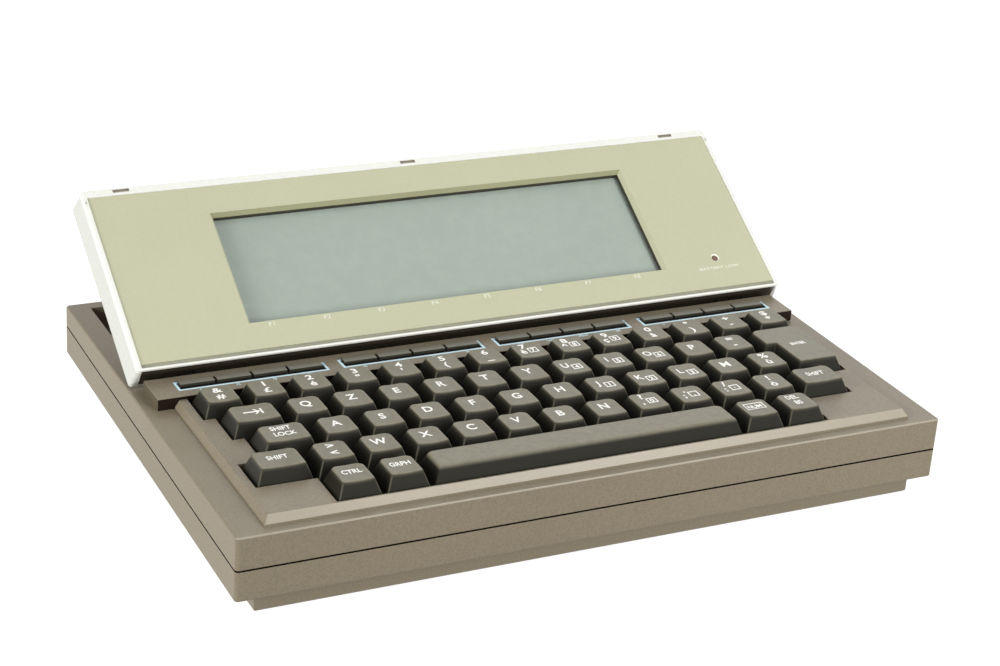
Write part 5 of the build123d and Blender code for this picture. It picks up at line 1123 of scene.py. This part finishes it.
def looseSpots(node, outward):
    # where each screw of a CAD node stands: the outermost point of its axis, its length and radii
    work = bmesh.new()
    work.from_mesh(frame["nodes"][node].data)
    bmesh.ops.remove_doubles(work, verts=work.verts, dist=0.000002)
    spots, met = [], set()
    for start in work.verts:
        stack, island = [] if start in met else [start], []
        met.update(stack)
        while stack:
            vert = stack.pop()
            island.append(vert)
            others = [edge.other_vert(vert) for edge in vert.link_edges]
            stack += [other for other in others if other not in met]
            met.update(others)
        if not island:
            continue
        depths = [v.co.dot(outward) for v in island]
        top, bottom = max(depths), min(depths)
        rim = [v.co for v, d in zip(island, depths) if d > top - 0.00001]
        centre = sum(rim, Vector()) / len(rim)
        radii = [((v.co - centre) - outward * (v.co - centre).dot(outward)).length for v in island]
        wide = max(radii)
        headEnd = min(d for d, r in zip(depths, radii) if r > wide - 0.0001)
        thin = max(r for d, r in zip(depths, radii) if d < bottom + 0.0001)
        spots.append((centre, *[round(v / mm, 2) for v in (top - bottom, wide, top - headEnd, thin)]))
    work.free()
    return spots


def lathed(work, profile, sides):
    # profile points are (radius, z); a zero radius closes the end
    steps = [2 * math.pi * n / sides for n in range(sides)]
    rings = []
    for radius, z in profile:
        around = steps if radius else [0.0]
        rings.append([work.verts.new((radius * math.cos(a) * mm, radius * math.sin(a) * mm, z * mm))
                      for a in around])
    for lower, upper in zip(rings, rings[1:]):
        if len(lower) == len(upper):
            bridged(work, lower, upper)
        elif len(lower) == 1:
            for n in range(sides):
                work.faces.new((lower[0], upper[(n + 1) % sides], upper[n]))
        else:
            for n in range(sides):
                work.faces.new((lower[n], lower[(n + 1) % sides], upper[0]))
    return rings


crossLook = dict(reach=0.6, half=0.16, depth=0.55, sides=24, narrow=0.85)


def screwTemplate(length, headRadius, headHeight, shankRadius):
    # the head's outer face looks along +Z at z = 0, and the shank runs down
    work = bmesh.new()
    crown = min(0.25, headHeight * 0.4)
    rings = lathed(work, [(0, -length), (shankRadius * 0.8, -length), (shankRadius, -length + 0.3),
                          (shankRadius, -headHeight), (headRadius, -headHeight), (headRadius, -crown),
                          (headRadius - crown * 0.4, -crown * 0.25), (headRadius - crown, 0.0)],
                   crossLook["sides"])
    reach, half = crossLook["reach"] * headRadius, crossLook["half"] * headRadius
    corners = [(half, -reach), (half, -half), (reach, -half), (reach, half), (half, half), (half, reach)]
    corners += [(-x, -y) for x, y in corners]
    upper, lower = [[work.verts.new((x * grow * mm, y * grow * mm, z * mm)) for x, y in corners]
                    for grow, z in ((1.0, 0.0), (crossLook["narrow"], -crossLook["depth"] * headHeight))]
    bridged(work, lower, upper)
    work.faces.new(lower)
    topEdges = [work.edges.get((ring[n], ring[(n + 1) % len(ring)])) for ring in (upper, rings[-1])
                for n in range(len(ring))]
    bmesh.ops.triangle_fill(work, edges=topEdges, use_beauty=True)
    return closedMesh(work)


down, up = Vector((0.0, 0.0, -1.0)), Vector((0.0, 0.0, 1.0))
screwSets = {"case_screws": dict(outward=down, tilt=math.pi, seed=3),
             "option_screw": dict(outward=down, tilt=math.pi, seed=5),
             "board_screws": dict(outward=up, tilt=0.0, seed=7),
             "keyboard_screws": dict(outward=down, tilt=math.pi, seed=9),
             "display_screws": dict(outward=Vector((0.0, sine, -cosine)),
                                    tilt=math.pi + math.radians(display["tilt"]), seed=11)}
for node, screw in screwSets.items():
    sizes = {}
    for centre, *size in looseSpots(node, screw["outward"]):
        sizes.setdefault(tuple(size), []).append(centre)
    whole = bmesh.new()
    for (length, wide, head, thin), centres in sizes.items():
        mesh = screwTemplate(length, wide, min(head, length * 0.9), min(thin, wide * 0.6))
        template = spareObject("screw", mesh)
        points = bpy.data.meshes.new("points")
        points.from_pydata([tuple(centre) for centre in centres], [], [])
        whole.from_mesh(runTree(spotTree, points, {
            "Template": template, "Tilt": (screw["tilt"], 0.0, 0.0), "Spin": math.pi, "Seed": screw["seed"],
            "Finish": nodeFinish[node]}))
        bpy.data.objects.remove(template)
    replacePiece(camelName(node), node, settled(meshFrom(whole, node), 40))
    print("screws of", node, {key: len(value) for key, value in sizes.items()})

# Contacts of the rear connectors

port = dict(drop=6.2, pitch=2.77, rowGap=2.84, outer=0.75, inner=0.45, proud=0.15, pinPitch=2.54, pinGap=3.3,
            pinDepth=3.2)


def turnedTemplate(profile, sides):
    # a lathed shape whose axis looks out of the rear, along +Y
    work = bmesh.new()
    lathed(work, profile, sides)
    mesh = closedMesh(work)
    mesh.transform(Matrix.Rotation(-math.pi / 2, 4, "X"))
    return spareObject("contact", mesh)


outer, inner, proud = port["outer"], port["inner"], port["proud"]
socketRing = turnedTemplate([(0, -0.3), (outer, -0.3), (outer, proud - 0.05), (outer - 0.05, proud),
                             (inner, proud), (inner - 0.1, -0.1), (0, -0.1)], 16)
pin = turnedTemplate([(0, -0.5), (0.32, -0.5), (0.32, 2.2), (0.2, 2.45), (0, 2.45)], 8)
ringStep, pinStep = (port["pitch"], port["rowGap"], 0.0), (port["pinPitch"], port["pinGap"], port["pinDepth"])
contacts = {"serial": ((13, 12), *ringStep, socketRing), "barcode": ((5, 4), *ringStep, socketRing),
            "printer": ((13, 13), *pinStep, pin)}
for kind, (rows, pitch, gap, depth, template) in contacts.items():
    low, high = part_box(kind + "_port")
    x, y, z = (low.x + high.x) / 2 / mm, high.y / mm - depth, high.z / mm - port["drop"]
    whole = bmesh.new()
    for n, count in enumerate(rows):
        start = (x - (count - 1) * pitch / 2, y, z + (0.5 - n) * gap)
        whole.from_mesh(rowOf(template, count, pitch, start, finishes["brassPin"]))
    addPiece(kind + "Contacts", settled(meshFrom(whole, "contacts"), 40), finishes["brassPin"], "case")
bpy.data.objects.remove(socketRing)
bpy.data.objects.remove(pin)
print("rear contacts made")
